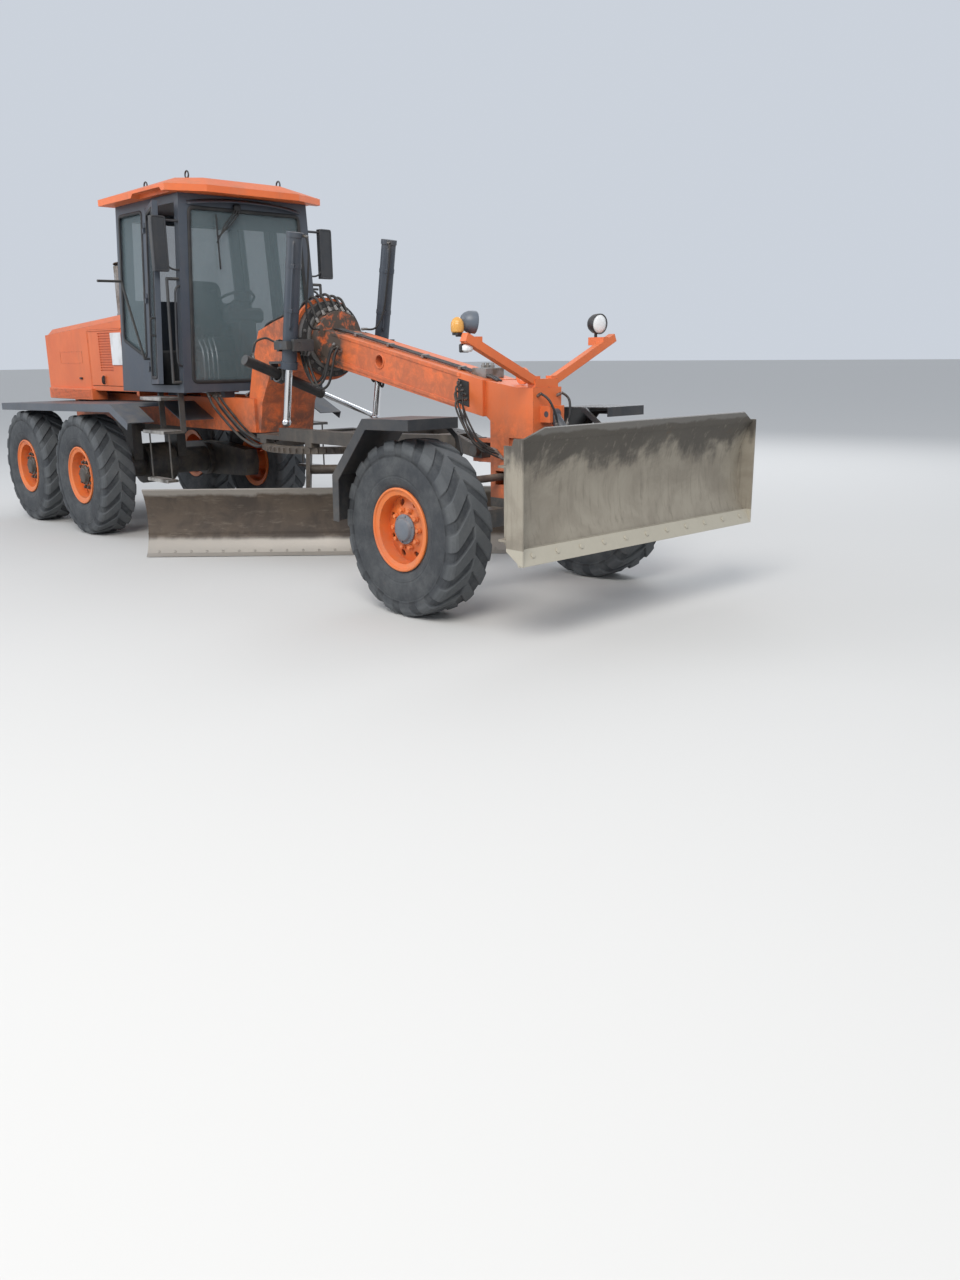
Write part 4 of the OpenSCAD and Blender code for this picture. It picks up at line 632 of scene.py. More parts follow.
def tyre_surface(middle, side):
    """Points, faces and bar share of one tyre, the share also darkening the grooves as painted shade: (y, r) = section
    + outward * bar_height * rise(angle, y).

    rise is 1 on a bar and 0 between bars, with flanks of the width slope. Each row of bars ends just past the
    middle, and angle = (column + lean(y)) * pitch shears the grid along them.
    """
    pitch = 2 * math.pi / bars
    slope = 0.035
    edges = np.array([0.0, bar_share, 0.5, (bar_share + 0.5) % 1.0])
    between = [0.22, 0.32, 0.42, 0.72, 0.82, 0.90]
    phase = np.sort(np.concatenate([(edges - slope) % 1, (edges + slope) % 1, between]))
    columns = (np.arange(bars)[:, None] + phase[None]).ravel()
    # Section from the inner bead to the outer one: (across, radius, share of bar height)
    half = np.array([
        (0.149, 0.2625, 0), (0.149, 0.292, 0), (0.152, 0.304, 0), (0.164, 0.322, 0), (0.176, 0.350, 0),
        (0.1815, 0.372, 0), (0.1800, 0.378, 0), (0.1845, 0.392, 0), (0.187, 0.430, 0), (0.1862, 0.470, 0),
        (0.183, 0.500, 0), (0.180, 0.512, 0), (0.1795, 0.518, 0.25), (0.1775, 0.535, 0.7), (0.172, 0.560, 0.95),
        (0.163, 0.582, 1), (0.150, 0.592, 1), (0.120, 0.595, 1), (0.090, 0.596, 1), (0.060, 0.5965, 1),
        (0.035, 0.597, 1), (0.016, 0.597, 1), (0.0, 0.597, 1)])
    section = np.vstack([half * [-1, 1, 1], half[-2::-1]])
    y, r, share = section.T
    lean = bar_lean * np.abs(y) / tyre_half * np.clip((r - 0.36) / 0.16, 0, 1)
    angle = (columns[:, None] + lean[None]) * pitch
    local = columns % 1
    bar = lambda start: np.clip((np.minimum((local - start) % 1, (start + bar_share - local) % 1)
                                 * ((local - start) % 1 < bar_share)) / slope + 0.5, 0, 1)
    near = bar(0.0)[:, None] * np.clip((0.022 - y) / 0.012, 0, 1)[None]
    far = bar(0.5)[:, None] * np.clip((y + 0.022) / 0.012, 0, 1)[None]
    rise = np.maximum(near, far) * share[None]
    outward = unit(np.stack([np.where(share > 0, np.sign(y) * np.clip((0.60 - r) / 0.12, 0, 1), 0),
                             np.ones_like(y)], axis=-1))
    height = bar_height * rise
    yy = np.clip(y[None] + outward[None, :, 0] * height, -tyre_half, tyre_half)
    rr = np.minimum(r[None] + outward[None, :, 1] * height, tyre_r - 0.0004)
    points = np.stack([middle[0] + rr * np.sin(angle), middle[1] + side * yy, middle[2] + rr * np.cos(angle)],
                      axis=-1)
    rows, across_count = points.shape[:2]
    # On the tread the share is the bar's rise and on the walls 0.45; the tyre's finish paints shade into the grooves
    # where it is 0.
    wear_and_groove_shade = np.where(share[None] > 0, rise, 0.45)
    return points.reshape(-1, 3), grid_faces(rows, across_count, True, True), wear_and_groove_shade.ravel()


rubber = Finish("tyre_rubber")
# Painted shade: the bar share read here darkens the grooves between the bars nearly to black, and it makes the bar
# tops paler.
bar_wear = rubber.value("ShaderNodeAttribute", {"attribute_name": "bar_wear"}, output="Fac")
rubber_dust = (rubber.noise(4.0, 6.0, 0.7).above(0.38, 0.35) * 0.45 + rubber.noise(45.0, 3.0) * 0.2).limited()
tread_colour = rubber.mix(rubber_dust, (0.030, 0.034, 0.040), (0.125, 0.13, 0.13))
tread_colour = rubber.mix((1.0 - bar_wear.above(0.05, 0.4)) * 0.85, tread_colour, (0.010, 0.011, 0.012))
tread_colour = rubber.mix(bar_wear.above(0.6, 0.3) * 0.30, tread_colour, (0.17, 0.18, 0.185))
tyre_rubber = rubber.surface(
    tread_colour, rubber.noise(20.0, 4.0) * 0.2 + 0.72, rubber.noise(70.0, 5.0, 0.7), 0.0012)


# Wheels: dished steel discs, painted orange, with a bolted hub. The hub's cap is bare grey metal in front
# and black with grease behind. Nuts stand on washers round the hub, and a valve stem comes through the disc.
for place in ("front", "mid", "rear"):
    for side_name in ("right", "left"):
        coat(f"wheel_{place}_{side_name}", wheel_paint)
cap_grey = painted("cap_grey", (0.14, 0.16, 0.19), (0.10, 0.11, 0.13), dust=0.3)
grease_black = painted("grease_black", (0.030, 0.026, 0.022), (0.05, 0.04, 0.03), dust=0.2, gloss=0.30)
stud_circle = 0.137
disc_out = 0.112
nut_shape = bolt(0.0165, 0.024)
for place, wheel_x, wheel_y, cap_finish, nut_finish in (
        ("front", front_x, 0.980, cap_grey, wheel_paint),
        ("mid", mid_x, 1.060, grease_black, grease_black),
        ("rear", rear_x, 1.060, grease_black, grease_black)):
    for side_name, side in (("right", -1), ("left", 1)):
        body = f"{place}_wheel_{side_name}"
        middle = np.array([wheel_x, side * wheel_y, tyre_r])
        tyre_points, tyre_faces, tyre_wear_and_groove_shade = tyre_surface(middle, side)
        tyre = lay(f"{body}_tyre", tyre_points, tyre_faces, tyre_rubber, body, slot="tyre")
        # This share drives the painted shade in the grooves of the tyre's finish.
        tyre.data.attributes.new("bar_wear", "FLOAT", "POINT").data.foreach_set("value", tyre_wear_and_groove_shade)
        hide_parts(f"tyre_{place}_{side_name}")
        out = np.array([0.0, side, 0.0])
        face = middle + out * disc_out
        studs = face + circle(10, 0.0, (1, 0, 0), (0, 0, 1)) * stud_circle
        lay(f"{body}_nuts", *repeated(nut_shape, studs - out * 0.016, facing(out)), nut_finish, body, slot="steel")
        lay(f"{body}_hub_cap", *turned(face - out * 0.012, out, [
            (0, 0.101), (0.010, 0.1075), (0.018, 0.1075), (0.021, 0.104), (0.021, 0.088), (0.024, 0.085),
            (0.040, 0.080), (0.044, 0.074), (0.0455, 0.03), (0.0455, 0)], 64), cap_finish, body, True, "steel")
        cap_holes = face + circle(6, 0.3, (1, 0, 0), (0, 0, 1)) * 0.0965
        lay(f"{body}_cap_bolts", *repeated(bolt(0.006, 0.006), cap_holes + out * 0.0095, facing(out)),
            cap_finish, body, slot="steel")
        lay(f"{body}_rim_lip", *turned(middle + out * 0.150, out, [
            (0.0155, 0.300), (0.020, 0.2965), (0.0215, 0.290), (0.0205, 0.284), (0.0155, 0.281), (0.006, 0.279)], 96),
            wheel_paint, body, True, "wheel_paint")
        lay(f"{body}_valve", *pipe(smooth_path(middle + np.array(
            [[0.0, side * 0.045, 0.205], [0.0, side * 0.062, 0.212], [0.0, side * 0.085, 0.225]]), 5), 0.0045),
            bare_steel, body, True, "steel")


# Cab: a pressed and welded frame in charcoal paint, its panes set in black rubber profiles, with a hinged door
# and a bent pull on each side. The sides lean in by 100 mm over 1.8 m, and the right door stands open.
cab_half, cab_low, lean_in = 0.800, 1.500, 0.1 / 1.8
screen_x = front_x - 3.680


def side_at(z, out=0.0):
    """Distance of the cab's outer side from the middle plane at height z."""
    return cab_half - lean_in * (np.asarray(z) - cab_low) + out


def rounded_loop(corners, radius, steps=6):
    """A closed outline through flat corners (n, 2), each rounded by an arc of the given radius."""
    corners = np.asarray(corners, float)
    before, after = np.roll(corners, 1, axis=0), np.roll(corners, -1, axis=0)
    start = corners + unit(before - corners) * radius
    end = corners + unit(after - corners) * radius
    t = np.linspace(0, 1, steps)[None, :, None]
    return ((1 - t) ** 2 * start[:, None] + 2 * t * (1 - t) * corners[:, None] + t ** 2 * end[:, None]).reshape(-1, 2)


def seal(loop, normal, width, height):
    """A rubber profile carried round a closed loop of points; normal is the glass's own direction."""
    loop = np.asarray(loop, float)
    tangent = unit(np.roll(loop, -1, axis=0) - np.roll(loop, 1, axis=0))
    inward = np.cross(np.asarray(normal, float), tangent)
    shape = np.array([(-0.5, -0.3), (-0.5, 0.5), (-0.3, 0.8), (0.0, 1.0), (0.3, 0.8), (0.5, 0.5), (0.5, -0.3)])
    points = (loop[:, None] + shape[None, :, :1] * width * inward[:, None]
              + shape[None, :, 1:] * height * np.asarray(normal, float))
    return points.reshape(-1, 3), grid_faces(len(loop), len(shape), True, True)


screen_loop = rounded_loop([(-0.690, 1.600), (0.690, 1.600), (0.600, 3.180), (-0.600, 3.180)], 0.05)
lay("screen_seal", *seal(np.column_stack([np.full(len(screen_loop), screen_x), screen_loop]), (1, 0, 0),
                         0.034, 0.012), seal_rubber, "chassis", True, "black_trim")
quarter_loop = rounded_loop([(-1.83, 2.01), (-1.33, 1.83), (-1.33, 3.20), (-1.83, 3.20)], 0.045)
for side_name, side in (("right", -1), ("left", 1)):
    quarter = np.column_stack([quarter_loop[:, 0], side * side_at(quarter_loop[:, 1]), quarter_loop[:, 1]])
    lay(f"quarter_seal_{side_name}", *seal(quarter, unit([0, side, lean_in]), 0.03, 0.010), seal_rubber,
        "chassis", True, "black_trim")


def hung(points, side_name):
    """Points of a closed door, turned as the right door stands open at rest."""
    points = np.asarray(points, float)
    if side_name == "left":
        return points
    pivot, axis, angle = np.array([-1.25, -0.815, 1.5]), unit([0, lean_in, 1.0]), -math.radians(20)
    local = points - pivot
    return pivot + (local * math.cos(angle) + np.cross(axis, local) * math.sin(angle)
                    + axis * (local @ axis)[..., None] * (1 - math.cos(angle)))


pane_inset, pane_thick = 0.020, 0.005
door_loop = rounded_loop([(-1.184, 1.636), (-0.726, 1.636), (-0.726, 3.154), (-1.184, 3.154)], 0.05)
for side_name, side in (("right", -1), ("left", 1)):
    outward = unit([0, side, lean_in])
    flat = np.column_stack([door_loop[:, 0], side * side_at(door_loop[:, 1]), door_loop[:, 1]])
    hinge_foot = np.array([0, side * 0.815, 1.5])
    normal = hung(hinge_foot + outward, side_name) - hung(hinge_foot, side_name)
    lay(f"door_seal_{side_name}", *seal(hung(flat, side_name), normal, 0.03, 0.009), seal_rubber,
        f"door_{side_name}", True, "black_trim")
    inner = flat - outward * pane_inset
    front = hung(inner, side_name)
    back = hung(inner - outward * pane_thick, side_name)
    count = len(front)
    faces = [list(range(count)), list(range(2 * count - 1, count - 1, -1))]
    faces += [[i, (i + 1) % count, count + (i + 1) % count, count + i] for i in range(count)]
    lay(f"door_glass_{side_name}", np.concatenate([front, back]), faces, window_glass,
        f"door_{side_name}", False, "glass")
    grip = hung(np.array([[-0.70, side * side_at(2.02, 0.004), 2.02], [-0.70, side * side_at(2.02, 0.045), 2.03],
                          [-0.70, side * side_at(2.10, 0.05), 2.10], [-0.70, side * side_at(2.16, 0.045), 2.17],
                          [-0.70, side * side_at(2.18, 0.004), 2.18]]), side_name)
    lay(f"door_handle_{side_name}", *pipe(smooth_path(grip, 6), 0.009), seal_rubber, f"door_{side_name}", True,
        "black_trim")


# Seat: foam cushions in black cloth with sewn channels, on a sprung base of painted steel. Before it stand a
# moulded console, the steering wheel on its column and two rows of short levers, on a ribbed floor mat.
cloth = Finish("seat_cloth")
weave = cloth.value("ShaderNodeTexWave", {"bands_direction": "DIAGONAL"}, {"Vector": cloth.place, "Scale": 260.0})
seat_cloth = cloth.surface(cloth.mix(cloth.noise(14.0, 4.0), (0.030, 0.034, 0.036), (0.055, 0.060, 0.060)), 0.9,
                           weave, 0.0006)


def cushion(centre, size, lean, channels):
    """A superellipse that thins towards its edges: x, y, z = size / 2 times signed powers of sphere angles.

    crown = 1 - 0.18 (x^2 + y^2) less a bell-shaped channel at each place in channels, on y.
    """
    u = np.linspace(-np.pi / 2, np.pi / 2, 33)[:, None]
    v = np.linspace(0, 2 * np.pi, 64, endpoint=False)[None]
    power = lambda value, exponent: np.sign(value) * np.abs(value) ** exponent
    x = power(np.cos(u), 0.35) * power(np.cos(v), 0.35)
    y = power(np.cos(u), 0.35) * power(np.sin(v), 0.35)
    z = power(np.sin(u), 0.55) * np.ones_like(v)
    crown = 1 - 0.18 * (x ** 2 + y ** 2)
    for channel in channels:
        crown = crown - 0.10 * np.exp(-((y - channel) / 0.045) ** 2)
    local = np.stack([x * size[0] / 2, y * size[1] / 2, z * crown * size[2] / 2], axis=-1)
    turn = np.array([[math.cos(lean), 0, math.sin(lean)], [0, 1, 0], [-math.sin(lean), 0, math.cos(lean)]])
    return (np.asarray(centre) + local @ turn.T).reshape(-1, 3), grid_faces(33, 64, True, False)


seat_pad = lay("seat_cushion", *cushion((-1.325, 0, 1.955), (0.50, 0.49, 0.15), -0.06, (-0.45, 0.45)),
               seat_cloth, "chassis", True, "black_trim")
back_pad = lay("seat_back", *cushion((-1.59, 0, 2.29), (0.62, 0.46, 0.13), -1.48, (-0.45, 0.45)),
               seat_cloth, "chassis", True, "black_trim")
lay("seat_base", *joined([
    block((-1.50, -0.19, 1.552), (-1.17, 0.19, 1.64)), block((-1.44, -0.15, 1.63), (-1.22, 0.15, 1.80)),
    block((-1.53, -0.215, 1.79), (-1.13, 0.215, 1.885)), block((-1.66, -0.17, 1.90), (-1.63, 0.17, 2.50)),
    block((-1.47, 0.26, 2.10), (-1.14, 0.33, 2.15), 0.012), block((-1.47, -0.33, 2.10), (-1.14, -0.26, 2.15), 0.012),
    block((-1.60, -0.31, 2.06), (-1.44, -0.28, 2.11)), block((-1.60, 0.28, 2.06), (-1.44, 0.31, 2.11))]),
    fender_black, "chassis", slot="black_trim")
console = lay("cab_console", *joined([
    block((-0.80, -0.10, 1.552), (-0.66, 0.10, 2.18), 0.02), block((-0.84, -0.20, 2.16), (-0.66, 0.20, 2.30), 0.03),
    turned((-0.87, 0, 2.36), (-0.42, 0, 0.91), [(-0.16, 0.0), (-0.16, 0.022), (0.0, 0.022), (0.004, 0.04),
                                                (0.016, 0.042), (0.020, 0.03), (0.020, 0.0)], 24),
    block((-1.46, 0.40, 1.552), (-1.02, 0.60, 2.02), 0.02), block((-1.46, -0.60, 1.552), (-1.02, -0.42, 1.90), 0.02)]),
    fender_black, "chassis", slot="black_trim")
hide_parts("cab_interior")
wheel_hub, wheel_axis = np.array([-0.875, 0, 2.375]), unit([-0.42, 0, 0.91])
rim_radius, rim_thick = 0.19, 0.014
wheel_first, wheel_second = across(wheel_axis)
tube_angle = np.linspace(0, 2 * np.pi, 10, endpoint=False)
rim_out = circle(48, 0.0, wheel_first, wheel_second)
rim_points = (wheel_hub + rim_out[:, None] * (rim_radius + rim_thick * np.cos(tube_angle))[None, :, None]
              + wheel_axis * rim_thick * np.sin(tube_angle)[None, :, None])
spokes = [pipe(np.linspace(wheel_hub + d * 0.03, wheel_hub + d * 0.185, 6), 0.010, 8) for d in rim_out[[0, 16, 32]]]
lay("steering_wheel", *joined([(rim_points.reshape(-1, 3), grid_faces(48, 10, True, True))] + spokes),
    seal_rubber, "chassis", True, "black_trim")
lever_feet = np.array([[-0.86 - 0.02 * k, 0.13 * s, 2.24] for s in (-1, 1) for k in range(5)])
lever_radii = np.concatenate([np.full(7, 0.005), np.full(4, 0.013)])
lay("control_levers", *joined([
    pipe(smooth_path([foot, foot + [-0.02, 0.02 * np.sign(foot[1]), 0.12],
                      foot + [-0.05, 0.07 * np.sign(foot[1]), 0.24]], 5), lever_radii, 8) for foot in lever_feet]),
    seal_rubber, "chassis", True, "black_trim")
mat_finish = Finish("floor_mat")
mat_look = mat_finish.surface(
    mat_finish.mix(mat_finish.spots(26.0).above(0.25, 0.3), (0.10, 0.14, 0.05), (0.35, 0.30, 0.10)), 0.9,
    mat_finish.spots(60.0), 0.003)
lay("floor_mat", *block((-1.10, -0.62, 1.5515), (-0.64, 0.62, 1.562), 0.004), mat_look, "chassis",
    slot="black_trim")


# Windscreen and roof: a wiper on three thin arms hung from a motor over the glass, a pressed brow above it, a
# sun band behind its top and lifting eyes bolted to the roof. Four steel levers stand beside the column.
band_finish = Finish("sun_band")
sun_band = band_finish.surface(
    band_finish.mix(band_finish.noise(8.0, 3.0), (0.012, 0.014, 0.018), (0.022, 0.025, 0.030)), 0.3)
lay("sun_visor", *block((-0.640, -0.60, 3.02), (-0.625, 0.60, 3.19), 0.004), sun_band, "chassis", slot="black_trim")
wiper_top, wiper_foot = np.array([-0.572, -0.10, 3.205]), np.array([-0.556, -0.335, 2.875])
wiper_shapes = [turned(wiper_top, (1, 0, 0), [(0.0, 0.0), (0.0, 0.040), (0.022, 0.038), (0.030, 0.026),
                                              (0.030, 0.0)], 24),
                pipe(np.linspace((-0.562, -0.330, 3.13), (-0.562, -0.322, 2.64), 12), 0.0085, 6)]
for shift in (-0.028, 0.0, 0.028):
    wiper_shapes.append(pipe(smooth_path([
        wiper_top + [0.020, shift, 0.0], wiper_top + [0.028, shift - 0.03, -0.06],
        (wiper_top + wiper_foot) / 2 + [0.020, shift, 0.01], wiper_foot + [0.004, shift * 0.4, 0.03 + shift]], 6),
        0.0065, 8))
lay("wipers", *joined(wiper_shapes), seal_rubber, "chassis", True, "black_trim")
brow_u = np.linspace(-1.0, 1.0, 33)[:, None, None]
brow_x = -0.574 + 0.080 * (1 - np.abs(brow_u) ** 3)
brow_z = 3.243 - 0.045 * brow_u ** 2
brow_root = np.full_like(brow_u, -0.585)
brow = np.concatenate([np.concatenate([x, brow_u * 0.62, brow_z + rise], axis=-1) for x, rise in (
    (brow_root, 0.045), (brow_x, 0.008), (brow_x, 0.0), (brow_root, 0.030))], axis=1)
lay("screen_brow", brow.reshape(-1, 3), [*grid_faces(33, 4, True, False), [3, 2, 1, 0], [128, 129, 130, 131]],
    cab_paint, "chassis", True, "black_trim")
side_levers = list(enumerate((-0.47, -0.42, -0.37, -0.32)))
lay("control_levers", *joined([
    pipe(smooth_path([(-0.76, y, 1.552), (-0.75, y, 1.70), (-0.78, y + 0.012, 1.88),
                      (-0.86, y + 0.02, 2.00 + 0.01 * k)], 8), 0.008, 8) for k, y in side_levers]),
    chrome_rod, "chassis", True, "steel")
lay("lever_knobs", *joined([turned((-0.86, y + 0.02, 1.985 + 0.01 * k), unit([-0.5, 0.05, 0.85]), [
    (0.0, 0.0), (0.0, 0.012), (0.012, 0.019), (0.034, 0.020), (0.044, 0.013), (0.047, 0.0)], 20)
    for k, y in side_levers]), seal_rubber, "chassis", True, "black_trim")
turn_ring = np.linspace(0, 2 * np.pi, 33)
eye_shapes = []
for x, y in ((-0.75, -0.50), (-0.75, 0.50), (-1.60, -0.50), (-1.60, 0.50)):
    loop = np.column_stack([x + 0.032 * np.sin(turn_ring), np.full(33, y), 3.486 + 0.032 * np.cos(turn_ring)])
    eye_shapes += [pipe(loop, 0.008, 8), turned((x, y, 3.440), (0, 0, 1), [(0, 0.02), (0.016, 0.02), (0.020, 0.012),
                                                                          (0.020, 0.0)], 16)]
lay("roof_eyes", *joined(eye_shapes), fender_black, "chassis", True, "black_trim")


# Mirrors: silvered glass in moulded cases on tube arms that are bolted to the cab's corner posts. Below them
# stand grab rails of bent tube, on both sides.
mirror_finish = Finish("mirror_glass")
mirror_glass = mirror_finish.surface((0.75, 0.77, 0.79), mirror_finish.noise(7.0, 3.0) * 0.06 + 0.03, Metallic=1.0)
for side_name, side in (("right", -1), ("left", 1)):
    lay(f"mirror_face_{side_name}", *side_block(side, (-0.6325, 0.865, 2.625), (-0.6285, 0.975, 3.055), 0.0015),
        mirror_glass, "chassis", slot="glass")
    lay(f"mirror_rim_{side_name}", *seal(np.column_stack([np.full(24, -0.575), rounded_loop([
        (side * 0.855, 2.605), (side * 0.985, 2.605), (side * 0.985, 3.075), (side * 0.855, 3.075)], 0.02, 6)]),
        (1, 0, 0), 0.016, 0.006), fender_black, "chassis", True, "black_trim")
    lay(f"mirror_arm_{side_name}", *pipe(smooth_path([
        (-0.600, side * side_at(2.62, -0.004), 2.62), (-0.600, side * 0.80, 2.625), (-0.600, side * 0.852, 2.66),
        (-0.602, side * 0.862, 2.75)], 6), 0.009, 10), fender_black, "chassis", True, "black_trim")
    lay(f"corner_rail_{side_name}", *pipe(smooth_path([
        (-0.600, side * side_at(1.75, -0.004), 1.75), (-0.585, side * side_at(1.78, 0.045), 1.78),
        (-0.585, side * side_at(1.95, 0.055), 1.95), (-0.585, side * side_at(2.35, 0.055), 2.35),
        (-0.585, side * side_at(2.45, 0.045), 2.45), (-0.600, side * side_at(2.48, -0.004), 2.48)], 6), 0.011, 10),
        fender_black, "chassis", True, "black_trim")


# Steps: folded tread plate laid on the cab's steps, worn bright where boots land, with raised bars against
# slipping and a lip folded down over the outer edge.
tread = Finish("tread_plate")
tread_wear = tread.noise(5.0, 5.0, 0.6).above(0.32, 0.3)
tread_bars = tread.value("ShaderNodeTexWave", {"bands_direction": "X"}, {"Vector": tread.place, "Scale": 16.0})
tread_steel = tread.surface(tread.mix(tread_wear, (0.10, 0.09, 0.08), (0.52, 0.50, 0.47)), 0.55 - tread_wear * 0.2,
                            tread_bars, 0.002, 0.001, Metallic=0.4)
tread_shapes = []
for side in (-1, 1):
    for z, y_in, y_out in ((1.135, 0.745, 0.957), (1.455, 0.745, 0.957), (0.662, 0.850, 0.952)):
        tread_shapes += [side_block(side, (-1.193, y_in, z), (-0.757, y_out, z + 0.005), 0.0015),
                         side_block(side, (-1.193, y_out - 0.001, z - 0.028), (-0.757, y_out + 0.005, z + 0.004),
                                    0.0015)]
lay("step_treads", *joined(tread_shapes), tread_steel, "chassis", slot="steel")


# Hood: pressed panels on hinges, with a blank white plate on each door, a raised frame behind it, a rubber
# latch over the seam and a pull handle. A low box with slats closes the gap between hood and deck.
plate_white = Finish("blank_plate")
hood_half = 0.600
white_plate = plate_white.surface(
    plate_white.mix(plate_white.noise(6.0, 5.0).above(0.45, 0.3) * 0.5, (0.72, 0.73, 0.74), (0.42, 0.40, 0.37)), 0.45)
for side_name, side in (("right", -1), ("left", 1)):
    def panel(x0, x1, z0, z1, out0, out1, chamfer=0.002):
        """A flat box on this side of the hood, from out0 to out1 outside its skin."""
        return side_block(side, (x0, hood_half + out0, z0), (x1, hood_half + out1, z1), chamfer)

    lay(f"hood_plate_{side_name}", *panel(-2.525, -2.262, 1.758, 2.096, 0.009, 0.0125, 0.001), white_plate,
        f"hood_door_{side_name}", slot="grey_deck")
    lay(f"hood_panel_{side_name}", *joined([
        panel(-3.97, -3.34, 1.905, 1.910, 0.0, 0.002, 0.0005), panel(-3.97, -3.34, 1.777, 1.782, 0.0, 0.002, 0.0005),
        panel(-3.97, -3.965, 1.777, 1.91, 0.0, 0.002, 0.0005), panel(-3.345, -3.34, 1.777, 1.91, 0.0, 0.002, 0.0005),
        panel(-3.157, -3.149, 1.50, 2.13, 0.0, 0.003, 0.001), panel(-2.232, -2.224, 1.50, 2.15, 0.0, 0.003, 0.001)]),
        hood_paint, "chassis", slot="orange_paint")
    lay(f"hood_latches_{side_name}", *panel(-3.440, -3.380, 1.598, 1.622, 0.0, 0.020, 0.006), seal_rubber, "chassis",
        slot="black_trim")
    handle = joined([panel(-2.795, -2.765, 1.560, 1.645, 0.009, 0.024, 0.006), pipe(smooth_path([
        (-2.760, side * 0.612, 1.635), (-2.760, side * 0.640, 1.625), (-2.760, side * 0.640, 1.565),
        (-2.760, side * 0.612, 1.555)], 5), 0.007, 8)])
    lay(f"hood_handle_{side_name}", *handle, seal_rubber, f"hood_door_{side_name}", True, "black_trim")
    slats = [side_block(side, (-4.26, 0.645, z), (-3.10, 0.650, z + 0.008), 0.001)
             for z in np.arange(1.395, 1.482, 0.016)]
    sill = side_block(side, (-4.30, 0.46, 1.372), (-3.07, 0.645, 1.498), 0.006)
    lay(f"sill_box_{side_name}", *joined([sill] + slats), hood_paint, "chassis", slot="orange_paint")


# Exhaust: a heat-stained pipe with a hinged rain cap that the gas pushes open, and a clamp band at its foot.
# All three are pressed from bare steel.
cap_axis = unit([-0.35, 0.0, 1.0])
lay("rain_cap", *joined([
    turned((-3.490, 0, 2.893), cap_axis, [(0.0, 0.0), (0.0, 0.050), (0.006, 0.052), (0.010, 0.040), (0.013, 0.0)], 32),
    block((-3.462, -0.012, 2.868), (-3.438, 0.012, 2.900), 0.003),
    turned((-3.5, 0, 2.32), (0, 0, 1), [(0.0, 0.046), (0.0, 0.052), (0.020, 0.052), (0.020, 0.046)], 32)]),
    bare_steel, "chassis", slot="exhaust")


# Rear: two round red lamps of moulded plastic in a black case on each side of the radiator grille, screwed to
# the hood's rear frame.
tail_red = Finish("tail_red")
tail_glass = tail_red.surface(tail_red.mix(tail_red.spots(140.0), (0.55, 0.02, 0.015), (0.38, 0.012, 0.01)), 0.25,
                              tail_red.spots(140.0), 0.001)
lay("tail_cases", *joined([side_block(side, (-4.392, 0.50, 1.66), (-4.370, 0.585, 1.88), 0.006)
                           for side in (-1, 1)]), fender_black, "chassis", slot="lamp_black")
lay("tail_lamps", *joined([turned((-4.391, side * 0.5425, z), (-1, 0, 0), [
    (0.0, 0.034), (0.008, 0.034), (0.013, 0.028), (0.015, 0.0)], 28) for side in (-1, 1) for z in (1.715, 1.825)]),
    tail_glass, "chassis", True, "glass")


# Round work lamps on the light bar, with an amber lamp by the right one and a small white one below it.
# Black pressed housings, chromed reflectors behind ribbed glass, amber in moulded plastic.
lens = Finish("lamp_lens")
lens_ribs = lens.noise(60.0, 2.0)
lamp_glass = lens.surface((0.85, 0.86, 0.86), 0.12, lens_ribs, 0.002, IOR=1.45)
amber = Finish("amber_lens")
amber_plastic = amber.surface(amber.mix(amber.noise(30.0, 3.0), (0.80, 0.42, 0.10), (0.62, 0.30, 0.07)), 0.25,
                              amber.spots(120.0), 0.001)
lamp_steel = painted("lamp_steel", (0.115, 0.14, 0.175), (0.085, 0.10, 0.125), dust=0.3, gloss=0.32)
for side_name, at, fore, bowl_finish in (
        ("right", np.array([3.335, -0.664, 2.045]), unit([0.42, 0.90, -0.10]), lamp_steel),
        ("left", np.array([3.335, 0.664, 2.045]), unit([1.0, -0.12, -0.05]), fender_black)):
    bowl = turned(at, fore, [(-0.062, 0.0), (-0.060, 0.022), (-0.052, 0.042), (-0.036, 0.058), (-0.010, 0.071),
                             (0.020, 0.0755), (0.040, 0.0765), (0.048, 0.0765), (0.050, 0.0745), (0.046, 0.070),
                             (0.040, 0.068)], 48)
    strap = pipe(smooth_path([at - [0, 0, 0.100], at - [0, 0, 0.082], at - [0, 0, 0.07]], 4), 0.012, 10)
    case = lay(f"lamp_bowl_{side_name}", *joined([bowl, strap]), bowl_finish, "chassis", True, "lamp_black")
    if side_name == "right":
        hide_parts("work_lamps")
    lay(f"lamp_lens_{side_name}", *turned(at, fore, [
        (0.038, 0.0695), (0.046, 0.066), (0.053, 0.045), (0.056, 0.02), (0.057, 0.0)], 48),
        lamp_glass, "chassis", True, "glass")
amber_at = np.array([3.330, -0.765, 1.985])
lay("amber_lamp", *turned(amber_at, (0, 0, 1), [
    (-0.012, 0.0), (-0.012, 0.040), (0.0, 0.044), (0.030, 0.046), (0.056, 0.042), (0.076, 0.031), (0.088, 0.015),
    (0.091, 0.0)], 32),
    amber_plastic, "chassis", True, "glass")
lay("amber_foot", *joined([block(amber_at + [-0.03, -0.025, -0.030], amber_at + [0.03, 0.025, -0.012]),
                           block((3.305, -0.765, 1.945), (3.355, -0.68, 1.957))]),
    fender_black, "chassis", slot="lamp_black")
lay("low_lamp", *block((3.375, -0.775, 1.845), (3.425, -0.700, 1.893), 0.012), lamp_glass, "chassis", True,
    "glass")
lay("low_lamp_case", *block((3.352, -0.780, 1.840), (3.378, -0.695, 1.898), 0.008), fender_black, "chassis",
    slot="lamp_black")
